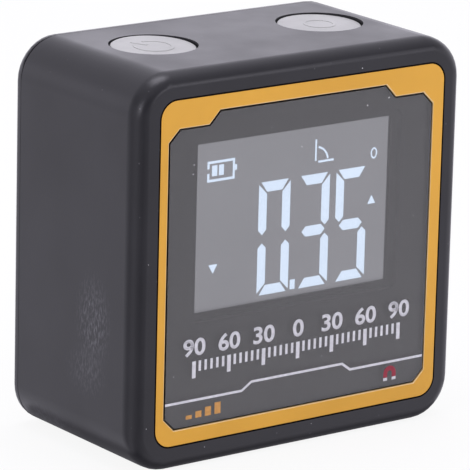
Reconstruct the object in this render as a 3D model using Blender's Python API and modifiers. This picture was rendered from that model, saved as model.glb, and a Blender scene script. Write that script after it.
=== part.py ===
# Pocket digital angle gauge. A deep moulded housing holds a smoked window in front, a segment display and its
# board behind it, two round buttons on top, two magnets in the base, and two cells behind a door in the back.
# Units are metres and +Z is up. The window faces -Y and the origin is the middle of the underside.

from math import cos, radians, sin, tau

import bmesh
import bpy
from mathutils import Matrix, Vector

for old in list(bpy.data.objects):
    bpy.data.objects.remove(old, do_unlink=True)

# Body
BODY_WIDTH = 0.0600
BODY_HEIGHT = 0.0602
BODY_DEPTH = 0.0322
CORNER_RADIUS = 0.0065
FRONT_FILLET = 0.0020
REAR_FILLET = 0.0012
WALL = 0.0022
COVER_THICKNESS = 0.0015
PARTING_GAP = 0.0003

# Clearances
FLAT_GAP = 0.0001
SLIP_GAP = 0.0003
EDGE_GAP = 0.0002
EMBED = 0.0003
OVERCUT = 0.0010

# Window panel and the coloured trim frame let into its rim
RIM_SIDE = 0.00395
RIM_BOTTOM = 0.0041
RIM_TOP = 0.0040
PANEL_CORNER = 0.0030
PANEL_THICKNESS = 0.0012
TRIM_THICKNESS = 0.00035
TRIM_SIDE = 0.00155
TRIM_BOTTOM = 0.00215
TRIM_TOP = 0.0022
TRIM_CHAMFER = 0.0019
TRIM_STEP_HEIGHT = 0.0020
TRIM_STEP_RUN = 0.0019
TRIM_NOTCH_INSET = 0.0072
TRIM_JOINT_GAP = 0.00005

# Display
VIEW_WIDTH = 0.0361
VIEW_HEIGHT = 0.0257
VIEW_DROP = 0.0115
APERTURE_MARGIN = 0.0011
GLASS_MARGIN = 0.0014
GLASS_THICKNESS = 0.0010
CONTACT_LEDGE = 0.0022
FRAME_LIP = 0.0004
FRAME_WALL = 0.0008
BACKLIGHT_THICKNESS = 0.0022
BACKLIGHT_MARGIN = 0.0008
STRIP_HEIGHT = 0.0014
STRIP_MARGIN = 0.0020

# Main board, its standoffs and what is soldered to it
BOARD_THICKNESS = 0.0012
BOARD_SIDE_GAP = 0.0014
STANDOFF_RADIUS = 0.0019
STANDOFF_EDGE = 0.0114
BOARD_BORDER = 0.0022
CHIP_SIZE = 0.0070
CHIP_THICKNESS = 0.0014
SENSOR_SIZE = 0.0050
SENSOR_THICKNESS = 0.0015
RADIO_WIDTH = 0.0120
RADIO_HEIGHT = 0.0160
RADIO_BASE = 0.0008
RADIO_CAN = 0.0016
RADIO_FROM_SIDE = 0.0030
CRYSTAL_LENGTH = 0.0050
CRYSTAL_WIDTH = 0.0032
CRYSTAL_THICKNESS = 0.0012
HEADER_WIDTH = 0.0110
HEADER_HEIGHT = 0.0026
HEADER_DEPTH = 0.0024

# Buttons, their switches and the board that carries them
BUTTON_HOLE_RADIUS = 0.00675
POWER_FROM_SIDE = 0.01515
ZERO_FROM_SIDE = 0.01385
COLLAR_LIP_GAP = 0.00165
BUTTON_GAP = 0.00025
BUTTON_TRAVEL = 0.0006
POWER_SINK = 0.0001
ZERO_SINK = 0.0003
BUTTON_EDGE = 0.0003
FLANGE_OVERLAP = 0.0011
FLANGE_THICKNESS = 0.0010
CAP_WALL = 0.0011
STEM_RADIUS = 0.0020
STEM_LENGTH = 0.0050
COLLAR_WALL = 0.0008
COLLAR_HEIGHT = 0.0022
SWITCH_SIZE = 0.0060
SWITCH_HEIGHT = 0.0035
SWITCH_WELL = 0.0016
PLUNGER_RADIUS = 0.00175
KEY_BOARD_DROP = 0.0100
KEY_BOARD_THICKNESS = 0.0016
KEY_BOARD_BACK_GAP = 0.0015
KEY_BOSS_EDGE = 0.0034
KEY_BOSS_RADIUS = 0.0022

# Base magnets
MAGNET_RADIUS = 0.0050
MAGNET_THICKNESS = 0.0030
MAGNET_FROM_SIDE = 0.0130
MAGNET_CUP_WALL = 0.0010

# Rear cover and its screws
LIP_THICKNESS = 0.0012
LIP_HEIGHT = 0.0022
BOSS_RADIUS = 0.0022
BOSS_FROM_SIDE = 0.0054
BOSS_FROM_END = 0.0068
BOSS_RIB = 0.0015
PAD_RADIUS = 0.0027
PAD_DEPTH = 0.0015
SCREW_SHANK_RADIUS = 0.00095
SCREW_HEAD_RADIUS = 0.0019
SCREW_HEAD_HEIGHT = 0.0012
SCREW_HOLE_GAP = 0.0002
COVER_SCREW_LENGTH = 0.0080
BOARD_SCREW_LENGTH = 0.0045

# Battery bay, cells and contacts
CELL_RADIUS = 0.00525
CELL_NUB_RADIUS = 0.0019
CELL_NUB_LENGTH = 0.0008
CELL_GAP = 0.0009
CELL_SIDE_GAP = 0.0005
BAY_FROM_BOSS = 0.0026
BAY_SIDE_GAP = 0.0008
BAY_RIM = 0.0008
BAY_LEDGE = 0.0008
BAY_FLOOR = 0.0010
BAY_DIVIDER_WIDTH = 0.0008
BAY_DIVIDER_HEIGHT = 0.0030
SPRING_ROOM = 0.0047
SPRING_WIRE_RADIUS = 0.00025
SPRING_WIDE_RADIUS = 0.0034
SPRING_NARROW_RADIUS = 0.0024
SPRING_TURNS = 4
SPRING_END_SHARE = 0.12
CONTACT_THICKNESS = 0.0004
CONTACT_WIDTH = 0.0086
CONTACT_DIMPLE = 0.0005
TAB_WIDTH = 0.0020
TAB_REACH = 0.0016
LEAD_RADIUS = 0.0005

# Battery door
DOOR_THICKNESS = 0.0012
DOOR_CORNER = 0.0015
TOE_WIDTH = 0.0050
TOE_SPACING = 0.0280
TOE_LENGTH = 0.0013
TOE_THICKNESS = 0.0007
CATCH_WIDTH = 0.0080
CATCH_DEPTH = 0.0011
GRIP_WIDTH = 0.0140
GRIP_HEIGHT = 0.0007
GRIP_DEPTH = 0.0003
GRIP_PITCH = 0.0016
GRIP_COUNT = 4
GRIP_DROP = 0.0030

# Smoothness of the round forms
CORNER_STEPS = 9
EDGE_STEPS = 4
ROUND_STEPS = 40
CELL_STEPS = 24
SMALL_STEPS = 14
TOUCH = 0.000001

# Depths, from the window face back
FRONT = -BODY_DEPTH / 2
BACK = BODY_DEPTH / 2
COVER_FRONT = BACK - COVER_THICKNESS
HOUSING_BACK = COVER_FRONT - PARTING_GAP
RECESS_FLOOR = FRONT + PANEL_THICKNESS + FLAT_GAP
INNER_FRONT = FRONT + WALL
FRAME_FRONT = INNER_FRONT + FLAT_GAP
GLASS_FRONT = FRAME_FRONT + FRAME_LIP + FLAT_GAP
GLASS_BACK = GLASS_FRONT + 2 * GLASS_THICKNESS
BACKLIGHT_FRONT = GLASS_BACK + EDGE_GAP
FRAME_BACK = BACKLIGHT_FRONT + BACKLIGHT_THICKNESS + FLAT_GAP
BOARD_FRONT = FRAME_BACK + EDGE_GAP
BOARD_BACK = BOARD_FRONT + BOARD_THICKNESS
DOOR_FRONT = BACK - DOOR_THICKNESS
CELL_Y = DOOR_FRONT - SLIP_GAP - CELL_RADIUS
BAY_FLOOR_BACK = CELL_Y - CELL_RADIUS - SLIP_GAP
BAY_FRONT = BAY_FLOOR_BACK - BAY_FLOOR

# Sides and heights
INNER_SIDE = BODY_WIDTH / 2 - WALL
INNER_TOP = BODY_HEIGHT - WALL
INNER_CORNER = CORNER_RADIUS - WALL
PANEL_SIDE = BODY_WIDTH / 2 - RIM_SIDE
PANEL_BOTTOM = RIM_BOTTOM
PANEL_TOP = BODY_HEIGHT - RIM_TOP
VIEW_TOP = BODY_HEIGHT - VIEW_DROP
VIEW_BOTTOM = VIEW_TOP - VIEW_HEIGHT
GLASS_SIDE = VIEW_WIDTH / 2 + GLASS_MARGIN
GLASS_TOP = VIEW_TOP + GLASS_MARGIN
GLASS_BOTTOM = VIEW_BOTTOM - CONTACT_LEDGE
FRAME_SIDE = GLASS_SIDE + EDGE_GAP + FRAME_WALL
FRAME_TOP = GLASS_TOP + EDGE_GAP + FRAME_WALL
FRAME_BOTTOM = GLASS_BOTTOM - EDGE_GAP - FRAME_WALL
STANDOFF_TOP = FRAME_TOP + SLIP_GAP + STANDOFF_RADIUS
STANDOFF_BOTTOM = FRAME_BOTTOM - SLIP_GAP - STANDOFF_RADIUS
BOARD_TOP = STANDOFF_TOP + BOARD_BORDER
BOARD_BOTTOM = STANDOFF_BOTTOM - BOARD_BORDER
BOSS_X = BODY_WIDTH / 2 - BOSS_FROM_SIDE
BOARD_SIDE = BOSS_X - BOSS_RADIUS - BOARD_SIDE_GAP
STANDOFF_X = BOARD_SIDE - STANDOFF_EDGE
MAGNET_X = BODY_WIDTH / 2 - MAGNET_FROM_SIDE
BOSS_HEIGHTS = (BOSS_FROM_END, BODY_HEIGHT - BOSS_FROM_END)
BOSS_BACK = COVER_FRONT - PAD_DEPTH - SLIP_GAP

# Bay and cells
BAY_BOTTOM = BOSS_FROM_END + BOSS_RADIUS + BAY_FROM_BOSS
BAY_OUTER = INNER_SIDE - BAY_SIDE_GAP
DOORWAY_SIDE = BAY_OUTER - BAY_RIM
BAY_SIDE = DOORWAY_SIDE - BAY_LEDGE
BAY_TOP = BAY_BOTTOM + 2 * CELL_SIDE_GAP + 4 * CELL_RADIUS + CELL_GAP
DOORWAY_BOTTOM = BAY_BOTTOM - BAY_LEDGE
DOORWAY_TOP = BAY_TOP + BAY_LEDGE
LOWER_CELL_Z = BAY_BOTTOM + CELL_SIDE_GAP + CELL_RADIUS
UPPER_CELL_Z = LOWER_CELL_Z + 2 * CELL_RADIUS + CELL_GAP
CONTACT_OUTER = BAY_SIDE - FLAT_GAP
CONTACT_FACE = CONTACT_OUTER - CONTACT_THICKNESS
CELL_POSITIVE_END = CONTACT_FACE - CONTACT_DIMPLE - FLAT_GAP
CELL_LENGTH = CELL_POSITIVE_END + CONTACT_FACE - SPRING_ROOM

# Buttons
CAP_RADIUS = BUTTON_HOLE_RADIUS - BUTTON_GAP
FLANGE_RADIUS = BUTTON_HOLE_RADIUS + FLANGE_OVERLAP
COLLAR_BORE = FLANGE_RADIUS + SLIP_GAP
COLLAR_RADIUS = COLLAR_BORE + COLLAR_WALL
POWER_X = POWER_FROM_SIDE - BODY_WIDTH / 2
ZERO_X = BODY_WIDTH / 2 - ZERO_FROM_SIDE
BUTTON_Y = COVER_FRONT - LIP_HEIGHT - COLLAR_LIP_GAP - COLLAR_RADIUS
FLANGE_TOP = WALL + FLAT_GAP
KEY_BOARD_TOP = BODY_HEIGHT - KEY_BOARD_DROP
KEY_BOARD_BOTTOM = KEY_BOARD_TOP - KEY_BOARD_THICKNESS
KEY_BOARD_FRONT = BOARD_BACK + SLIP_GAP
KEY_BOARD_BACK = COVER_FRONT - LIP_HEIGHT - KEY_BOARD_BACK_GAP
SWITCH_TOP = KEY_BOARD_TOP + FLAT_GAP + SWITCH_HEIGHT

# Door
DOOR_SIDE = DOORWAY_SIDE - EDGE_GAP
DOOR_BOTTOM = DOORWAY_BOTTOM + EDGE_GAP
DOOR_TOP = DOORWAY_TOP - EDGE_GAP
HINGE_Z = DOORWAY_BOTTOM + EDGE_GAP / 2


def make_collection(name):
    collection = bpy.data.collections.new(name)
    bpy.context.scene.collection.children.link(collection)
    return collection


PARTS = make_collection("digital_angle_gauge")
TOOLS = make_collection("cutting_tools")


def make_material(name, colour, roughness, metallic=0.0):
    material = bpy.data.materials.new(name)
    material.use_nodes = True
    shader = material.node_tree.nodes["Principled BSDF"]
    shader.inputs["Base Color"].default_value = (*colour, 1.0)
    shader.inputs["Roughness"].default_value = roughness
    shader.inputs["Metallic"].default_value = metallic
    return material


BLACK_SHELL = make_material("black_shell_plastic", (0.035, 0.035, 0.038), 0.55)
SMOKED = make_material("smoked_acrylic", (0.03, 0.03, 0.032), 0.08)
ORANGE = make_material("orange_trim", (0.80, 0.36, 0.055), 0.40)
BUTTON_GREY = make_material("button_grey", (0.60, 0.60, 0.62), 0.50)
GLASS = make_material("display_glass", (0.27, 0.27, 0.30), 0.15)
WHITE_LIGHT = make_material("light_guide", (0.85, 0.87, 0.92), 0.30)
RUBBER = make_material("contact_rubber", (0.35, 0.35, 0.36), 0.80)
BOARD_GREEN = make_material("board_green", (0.02, 0.16, 0.06), 0.45)
CHIP_BLACK = make_material("chip_black", (0.02, 0.02, 0.022), 0.50)
TIN = make_material("tinned_steel", (0.62, 0.62, 0.60), 0.30, 1.0)
NICKEL = make_material("nickel_plate", (0.66, 0.63, 0.58), 0.22, 1.0)
SCREW_STEEL = make_material("blackened_steel", (0.10, 0.10, 0.105), 0.35, 1.0)
CELL_JACKET = make_material("cell_jacket", (0.16, 0.17, 0.19), 0.35)
RED_PVC = make_material("red_insulation", (0.55, 0.02, 0.02), 0.45)
BLACK_PVC = make_material("black_insulation", (0.02, 0.02, 0.02), 0.45)


def smooth_round_faces(mesh):
    mesh.shade_smooth()
    mesh.set_sharp_from_angle(angle=radians(35))
    return mesh


def mesh_from(shape, name):
    mesh = bpy.data.meshes.new(name)
    bmesh.ops.recalc_face_normals(shape, faces=shape.faces[:])
    shape.to_mesh(mesh)
    shape.free()
    return smooth_round_faces(mesh)


def block(low, high, along=1, corner=0.0, near=0.0, far=0.0):
    """A box from low to high. Corner rounds its edges along one axis, and near and far round its two ends."""
    shape = bmesh.new()
    bmesh.ops.create_cube(shape, size=1.0)
    for vert in shape.verts:
        vert.co = Vector(low[i] + (vert.co[i] + 0.5) * (high[i] - low[i]) for i in range(3))
    if corner:
        edges = [e for e in shape.edges if abs(e.verts[0].co[along] - e.verts[1].co[along]) > TOUCH]
        bmesh.ops.bevel(shape, geom=edges, offset=corner, segments=CORNER_STEPS, profile=0.5, affect="EDGES")
    for place, radius in ((low[along], near), (high[along], far)):
        if radius:
            ring = [e for e in shape.edges if all(abs(v.co[along] - place) < TOUCH for v in e.verts)]
            bmesh.ops.bevel(shape, geom=ring, offset=radius, segments=EDGE_STEPS, profile=0.5, affect="EDGES")
    return mesh_from(shape, "block")


def rod(start, end, radius, end_radius=None, steps=SMALL_STEPS):
    """A round bar, or a cone where the end radius differs."""
    start, end = Vector(start), Vector(end)
    turn = Vector((0, 0, 1)).rotation_difference(end - start).to_matrix().to_4x4()
    shape = bmesh.new()
    bmesh.ops.create_cone(
        shape, cap_ends=True, segments=steps, radius1=radius,
        radius2=radius if end_radius is None else end_radius,
        depth=(end - start).length, matrix=Matrix.Translation((start + end) / 2) @ turn)
    return mesh_from(shape, "rod")


def outline_plate(points, near, far):
    """A flat plate that stands facing -Y, cut to an outline of (x, z) points, from y near to y far."""
    curve = bpy.data.curves.new("outline", "CURVE")
    curve.dimensions = "2D"
    curve.fill_mode = "BOTH"
    curve.extrude = (far - near) / 2
    spline = curve.splines.new("POLY")
    spline.points.add(len(points) - 1)
    spline.use_cyclic_u = True
    for point, (x, z) in zip(spline.points, points):
        point.co = (x, z, 0.0, 1.0)
    guide = bpy.data.objects.new("outline", curve)
    TOOLS.objects.link(guide)
    filled = bpy.data.meshes.new_from_object(guide.evaluated_get(bpy.context.evaluated_depsgraph_get()))
    bpy.data.objects.remove(guide, do_unlink=True)
    shape = bmesh.new()
    shape.from_mesh(filled)
    bmesh.ops.remove_doubles(shape, verts=shape.verts[:], dist=TOUCH)
    upright = Matrix.Translation((0, (near + far) / 2, 0)) @ Matrix.Rotation(radians(90), 4, "X")
    bmesh.ops.transform(shape, matrix=upright, verts=shape.verts[:])
    return mesh_from(shape, "plate")


def add_part(name, mesh, material):
    part = bpy.data.objects.new(name, mesh)
    mesh.materials.append(material)
    PARTS.objects.link(part)
    return part


def use_tool(part, mesh, operation):
    tool = bpy.data.objects.new(f"{part.name}_tool", mesh)
    tool.display_type = "WIRE"
    tool.hide_render = True
    TOOLS.objects.link(tool)
    step = part.modifiers.new(operation.lower(), "BOOLEAN")
    step.operation = operation
    step.solver = "EXACT"
    step.object = tool


def cut(part, *meshes):
    for mesh in meshes:
        use_tool(part, mesh, "DIFFERENCE")


def fuse(part, *meshes):
    for mesh in meshes:
        use_tool(part, mesh, "UNION")


def turned(name, profile, material, place, axis=(0, 0, 1), steps=ROUND_STEPS):
    """A turned piece. The profile is (radius, height) points, from the top of its axis down the outside."""
    mesh = bpy.data.meshes.new(name)
    points = [(radius, 0.0, height) for radius, height in profile]
    mesh.from_pydata(points, [(i, i + 1) for i in range(len(points) - 1)], [])
    part = add_part(name, mesh, material)
    part.location = place
    part.rotation_mode = "QUATERNION"
    part.rotation_quaternion = Vector((0, 0, 1)).rotation_difference(Vector(axis))
    lathe = part.modifiers.new("lathe", "SCREW")
    lathe.angle = tau
    lathe.steps = steps
    lathe.render_steps = steps
    lathe.use_merge_vertices = True
    lathe.merge_threshold = TOUCH
    lathe.use_smooth_shade = True
    return part


def wire(name, points, radius, material):
    """A round wire through the points."""
    curve = bpy.data.curves.new(name, "CURVE")
    curve.dimensions = "3D"
    curve.bevel_depth = radius
    curve.bevel_resolution = 2
    curve.use_fill_caps = True
    spline = curve.splines.new("POLY")
    spline.points.add(len(points) - 1)
    for point, place in zip(spline.points, points):
        point.co = (*place, 1.0)
    curve.materials.append(material)
    part = bpy.data.objects.new(name, curve)
    PARTS.objects.link(part)
    return part


def move_origin(part, place):
    """Puts the part's origin at a place, such as its hinge line, and leaves the part where it is."""
    part.data.transform(Matrix.Translation(-Vector(place)))
    part.location = place


# Moulded housing: a tub open at the back, with every boss, cup and collar that carries another piece
def build_front_housing():
    side = BODY_WIDTH / 2
    housing = add_part("front_housing", block(
        (-side, FRONT, 0), (side, HOUSING_BACK, BODY_HEIGHT), corner=CORNER_RADIUS, near=FRONT_FILLET), BLACK_SHELL)
    cut(housing, block(
        (-INNER_SIDE, INNER_FRONT, WALL), (INNER_SIDE, HOUSING_BACK + OVERCUT, INNER_TOP),
        corner=INNER_CORNER))
    add_cover_bosses(housing)
    add_board_standoffs(housing)
    add_key_bosses(housing)
    add_button_guides(housing)
    add_magnet_cups(housing)
    cut(housing, block(
        (-PANEL_SIDE - EDGE_GAP, FRONT - OVERCUT, PANEL_BOTTOM - EDGE_GAP),
        (PANEL_SIDE + EDGE_GAP, RECESS_FLOOR, PANEL_TOP + EDGE_GAP), corner=PANEL_CORNER + EDGE_GAP))
    aperture = VIEW_WIDTH / 2 + APERTURE_MARGIN
    cut(housing, block(
        (-aperture, FRONT, VIEW_BOTTOM - APERTURE_MARGIN),
        (aperture, INNER_FRONT + OVERCUT, VIEW_TOP + APERTURE_MARGIN), corner=APERTURE_MARGIN))
    return housing


def add_cover_bosses(housing):
    """Four screw bosses from the front wall back, each tied to the side wall by a rib."""
    start = INNER_FRONT - EMBED
    pilot = SCREW_SHANK_RADIUS + SCREW_HOLE_GAP
    for x_sign in (-1, 1):
        for z in BOSS_HEIGHTS:
            x = x_sign * BOSS_X
            wall = x_sign * (INNER_SIDE + EMBED)
            fuse(housing, rod((x, start, z), (x, BOSS_BACK, z), BOSS_RADIUS, steps=18))
            fuse(housing, block(
                (min(x, wall), start, z - BOSS_RIB / 2), (max(x, wall), BOSS_BACK - EMBED, z + BOSS_RIB / 2)))
            pilot_start = BOSS_BACK - COVER_SCREW_LENGTH
            cut(housing, rod((x, pilot_start, z), (x, BOSS_BACK + OVERCUT, z), pilot))


def add_board_standoffs(housing):
    pilot = SCREW_SHANK_RADIUS + SCREW_HOLE_GAP
    end = BOARD_FRONT - FLAT_GAP
    for x in (-STANDOFF_X, STANDOFF_X):
        for z in (STANDOFF_BOTTOM, STANDOFF_TOP):
            fuse(housing, rod((x, INNER_FRONT - EMBED, z), (x, end, z), STANDOFF_RADIUS))
            cut(housing, rod((x, INNER_FRONT + EMBED, z), (x, end + OVERCUT, z), pilot))


def key_boss_places():
    x = (POWER_X + ZERO_X) / 2
    return [(x, KEY_BOARD_FRONT + KEY_BOSS_EDGE), (x, KEY_BOARD_BACK - KEY_BOSS_EDGE)]


def add_key_bosses(housing):
    pilot = SCREW_SHANK_RADIUS + SCREW_HOLE_GAP
    foot = KEY_BOARD_TOP + FLAT_GAP
    for x, y in key_boss_places():
        fuse(housing, rod((x, y, foot), (x, y, INNER_TOP + EMBED), KEY_BOSS_RADIUS))
        cut(housing, rod((x, y, foot - OVERCUT), (x, y, foot + BOARD_SCREW_LENGTH), pilot))


def add_button_guides(housing):
    """A collar under the top wall guides each cap's flange, and the cap shows through a round hole."""
    foot = INNER_TOP - COLLAR_HEIGHT
    for x in (POWER_X, ZERO_X):
        fuse(housing, rod(
            (x, BUTTON_Y, foot), (x, BUTTON_Y, INNER_TOP + EMBED), COLLAR_RADIUS, steps=ROUND_STEPS))
        cut(housing, rod(
            (x, BUTTON_Y, foot - OVERCUT), (x, BUTTON_Y, INNER_TOP), COLLAR_BORE, steps=ROUND_STEPS))
        cut(housing, rod(
            (x, BUTTON_Y, INNER_TOP - OVERCUT), (x, BUTTON_Y, BODY_HEIGHT + OVERCUT),
            BUTTON_HOLE_RADIUS, steps=ROUND_STEPS))


def add_magnet_cups(housing):
    inner = MAGNET_RADIUS + EDGE_GAP
    depth = FLAT_GAP + MAGNET_THICKNESS + FLAT_GAP
    for x in (-MAGNET_X, MAGNET_X):
        fuse(housing, rod(
            (x, 0, WALL - EMBED), (x, 0, depth + MAGNET_CUP_WALL), inner + MAGNET_CUP_WALL, steps=32))
        cut(housing, rod((x, 0, -OVERCUT), (x, 0, depth), inner, steps=32))


# Window panel and trim frame
def view_field(gap):
    """Outline of the dark field inside the trim frame: chamfered corners and a wider notch at the top."""
    side = PANEL_SIDE - TRIM_SIDE - gap
    bottom = PANEL_BOTTOM + TRIM_BOTTOM + gap
    top = PANEL_TOP - TRIM_TOP - gap
    shoulder = top - TRIM_STEP_HEIGHT
    notch = side - TRIM_NOTCH_INSET
    right = [
        (side - TRIM_CHAMFER, bottom), (side, bottom + TRIM_CHAMFER), (side, shoulder - TRIM_CHAMFER),
        (side - TRIM_CHAMFER, shoulder), (notch, shoulder), (notch - TRIM_STEP_RUN, top)]
    return right + [(-x, z) for x, z in reversed(right)]


def build_window():
    seat = FRONT + TRIM_THICKNESS + FLAT_GAP
    panel = add_part("window_panel", block(
        (-PANEL_SIDE, seat, PANEL_BOTTOM), (PANEL_SIDE, FRONT + PANEL_THICKNESS, PANEL_TOP),
        corner=PANEL_CORNER), SMOKED)
    fuse(panel, outline_plate(view_field(TRIM_JOINT_GAP), FRONT, seat + EMBED))
    trim = add_part("trim_frame", block(
        (-PANEL_SIDE, FRONT, PANEL_BOTTOM), (PANEL_SIDE, FRONT + TRIM_THICKNESS, PANEL_TOP),
        corner=PANEL_CORNER), ORANGE)
    cut(trim, outline_plate(view_field(0.0), FRONT - OVERCUT, seat + OVERCUT))


# Display stack: a lipped frame holds the two glasses and the light guide against the front wall
def build_display():
    frame = add_part("display_frame", block(
        (-FRAME_SIDE, FRAME_FRONT, FRAME_BOTTOM), (FRAME_SIDE, FRAME_BACK, FRAME_TOP),
        corner=FRAME_WALL), CHIP_BLACK)
    pocket = GLASS_SIDE + EDGE_GAP
    cut(frame, block(
        (-pocket, FRAME_FRONT + FRAME_LIP, GLASS_BOTTOM - EDGE_GAP),
        (pocket, FRAME_BACK + OVERCUT, GLASS_TOP + EDGE_GAP)))
    cut(frame, block(
        (-VIEW_WIDTH / 2, FRAME_FRONT - OVERCUT, VIEW_BOTTOM), (VIEW_WIDTH / 2, GLASS_FRONT, VIEW_TOP)))

    joint = GLASS_FRONT + GLASS_THICKNESS
    glass = add_part("lcd_glass", block(
        (-GLASS_SIDE, GLASS_FRONT, GLASS_BOTTOM), (GLASS_SIDE, joint, GLASS_TOP)), GLASS)
    fuse(glass, block(
        (-GLASS_SIDE, joint - EMBED, GLASS_BOTTOM + CONTACT_LEDGE), (GLASS_SIDE, GLASS_BACK, GLASS_TOP)))

    side = VIEW_WIDTH / 2 + BACKLIGHT_MARGIN
    add_part("backlight", block(
        (-side, BACKLIGHT_FRONT, VIEW_BOTTOM + FLAT_GAP),
        (side, BACKLIGHT_FRONT + BACKLIGHT_THICKNESS, VIEW_TOP + BACKLIGHT_MARGIN)), WHITE_LIGHT)

    strip = GLASS_SIDE - STRIP_MARGIN
    add_part("elastomer_strip", block(
        (-strip, joint + FLAT_GAP, GLASS_BOTTOM + FLAT_GAP),
        (strip, BOARD_FRONT - FLAT_GAP, GLASS_BOTTOM + FLAT_GAP + STRIP_HEIGHT)), RUBBER)


# Main board
def build_main_board():
    side = BOARD_SIDE
    board = add_part("main_board", block(
        (-side, BOARD_FRONT, BOARD_BOTTOM), (side, BOARD_BACK, BOARD_TOP), corner=OVERCUT), BOARD_GREEN)
    hole = SCREW_SHANK_RADIUS + SCREW_HOLE_GAP
    for x in (-STANDOFF_X, STANDOFF_X):
        for z in (STANDOFF_BOTTOM, STANDOFF_TOP):
            cut(board, rod((x, BOARD_FRONT - OVERCUT, z), (x, BOARD_BACK + OVERCUT, z), hole))
            build_screw(
                f"board_screw_{place_word(x, z, FRAME_TOP)}", (x, BOARD_BACK + FLAT_GAP, z), (0, 1, 0),
                BOARD_SCREW_LENGTH)

    face = BOARD_BACK + FLAT_GAP
    radio_x = side - RADIO_FROM_SIDE - RADIO_WIDTH / 2
    radio_z = STANDOFF_BOTTOM + SCREW_HEAD_RADIUS + SLIP_GAP + RADIO_HEIGHT / 2
    chip_x, chip_z = 0.0, radio_z + RADIO_HEIGHT / 2 + SLIP_GAP + CHIP_SIZE / 2
    half = CHIP_SIZE / 2
    add_part("controller_chip", block(
        (chip_x - half, face, chip_z - half), (chip_x + half, face + CHIP_THICKNESS, chip_z + half),
        far=CHIP_THICKNESS / 4), CHIP_BLACK)

    sensor_x, sensor_z = -side / 2, chip_z - CHIP_SIZE
    half = SENSOR_SIZE / 2
    add_part("angle_sensor", block(
        (sensor_x - half, face, sensor_z - half),
        (sensor_x + half, face + SENSOR_THICKNESS, sensor_z + half)), CHIP_BLACK)

    radio = add_part("radio_module", block(
        (radio_x - RADIO_WIDTH / 2, face, radio_z - RADIO_HEIGHT / 2),
        (radio_x + RADIO_WIDTH / 2, face + RADIO_BASE, radio_z + RADIO_HEIGHT / 2)), BOARD_GREEN)
    can = RADIO_WIDTH / 2 - OVERCUT
    fuse(radio, block(
        (radio_x - can, face + RADIO_BASE / 2, radio_z - RADIO_HEIGHT / 2 + OVERCUT),
        (radio_x + can, face + RADIO_BASE + RADIO_CAN, radio_z + RADIO_HEIGHT / 6)))

    crystal_x = chip_x + CHIP_SIZE / 2 + OVERCUT + CRYSTAL_WIDTH / 2
    crystal_z = chip_z + SLIP_GAP
    add_part("crystal", block(
        (crystal_x - CRYSTAL_WIDTH / 2, face, crystal_z - CRYSTAL_LENGTH / 2),
        (crystal_x + CRYSTAL_WIDTH / 2, face + CRYSTAL_THICKNESS, crystal_z + CRYSTAL_LENGTH / 2),
        corner=CRYSTAL_WIDTH / 6), TIN)

    header_top = KEY_BOARD_BOTTOM - FLAT_GAP
    header_x = -radio_x
    header = add_part("board_header", block(
        (header_x - HEADER_WIDTH / 2, face, header_top - HEADER_HEIGHT),
        (header_x + HEADER_WIDTH / 2, face + HEADER_DEPTH, header_top)), CHIP_BLACK)
    slot_pitch = HEADER_WIDTH / 6
    for i in range(-2, 3):
        x = i * slot_pitch + header_x
        cut(header, block(
            (x - slot_pitch / 4, face + HEADER_DEPTH / 2, header_top - HEADER_HEIGHT - OVERCUT),
            (x + slot_pitch / 4, face + HEADER_DEPTH + OVERCUT, header_top - HEADER_HEIGHT / 2)))


def place_word(x, z, middle):
    """A name for a corner, such as upper_left, as seen from the front."""
    return f"{'upper' if z > middle - TOUCH else 'lower'}_{'left' if x < 0 else 'right'}"


def build_screw(name, seat, outward, length):
    """A pan head screw. Its seat is the point under the head, and outward points along the head."""
    tip = SCREW_SHANK_RADIUS / 3
    screw = turned(name, [
        (0.0, SCREW_HEAD_HEIGHT), (SCREW_HEAD_RADIUS * 0.7, SCREW_HEAD_HEIGHT),
        (SCREW_HEAD_RADIUS, SCREW_HEAD_HEIGHT * 0.6), (SCREW_HEAD_RADIUS, 0.0), (SCREW_SHANK_RADIUS, 0.0),
        (SCREW_SHANK_RADIUS, -length * 0.8), (tip, -length), (0.0, -length)],
        SCREW_STEEL, seat, outward, SMALL_STEPS)
    axis = Vector(outward)
    reach, slot = SCREW_HEAD_RADIUS * 0.55, SCREW_HEAD_RADIUS * 0.13
    centre = Vector(seat) + axis * SCREW_HEAD_HEIGHT
    across = [i for i in range(3) if abs(axis[i]) < 0.5]
    for long_way in across:
        half = Vector((slot, slot, slot))
        half[long_way] = reach
        for i in range(3):
            if abs(axis[i]) > 0.5:
                half[i] = SCREW_HEAD_HEIGHT * 0.6
        cut(screw, block(centre - half, centre + half))
    return screw


# Buttons and the board under them
def build_button(name, x, sink):
    """A hollow cap with a flange that stays under the top wall and a stem that reaches its switch."""
    flange = FLANGE_TOP
    button = turned(name, [
        (0.0, 0.0), (CAP_RADIUS - BUTTON_EDGE, 0.0), (CAP_RADIUS - BUTTON_EDGE * 0.3, -BUTTON_EDGE * 0.3),
        (CAP_RADIUS, -BUTTON_EDGE), (CAP_RADIUS, -flange), (FLANGE_RADIUS, -flange),
        (FLANGE_RADIUS, -flange - FLANGE_THICKNESS), (CAP_RADIUS - CAP_WALL, -flange - FLANGE_THICKNESS),
        (CAP_RADIUS - CAP_WALL, -CAP_WALL), (STEM_RADIUS, -CAP_WALL), (STEM_RADIUS, -STEM_LENGTH),
        (0.0, -STEM_LENGTH)], BUTTON_GREY, (x, BUTTON_Y, BODY_HEIGHT - sink))
    return button


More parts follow.
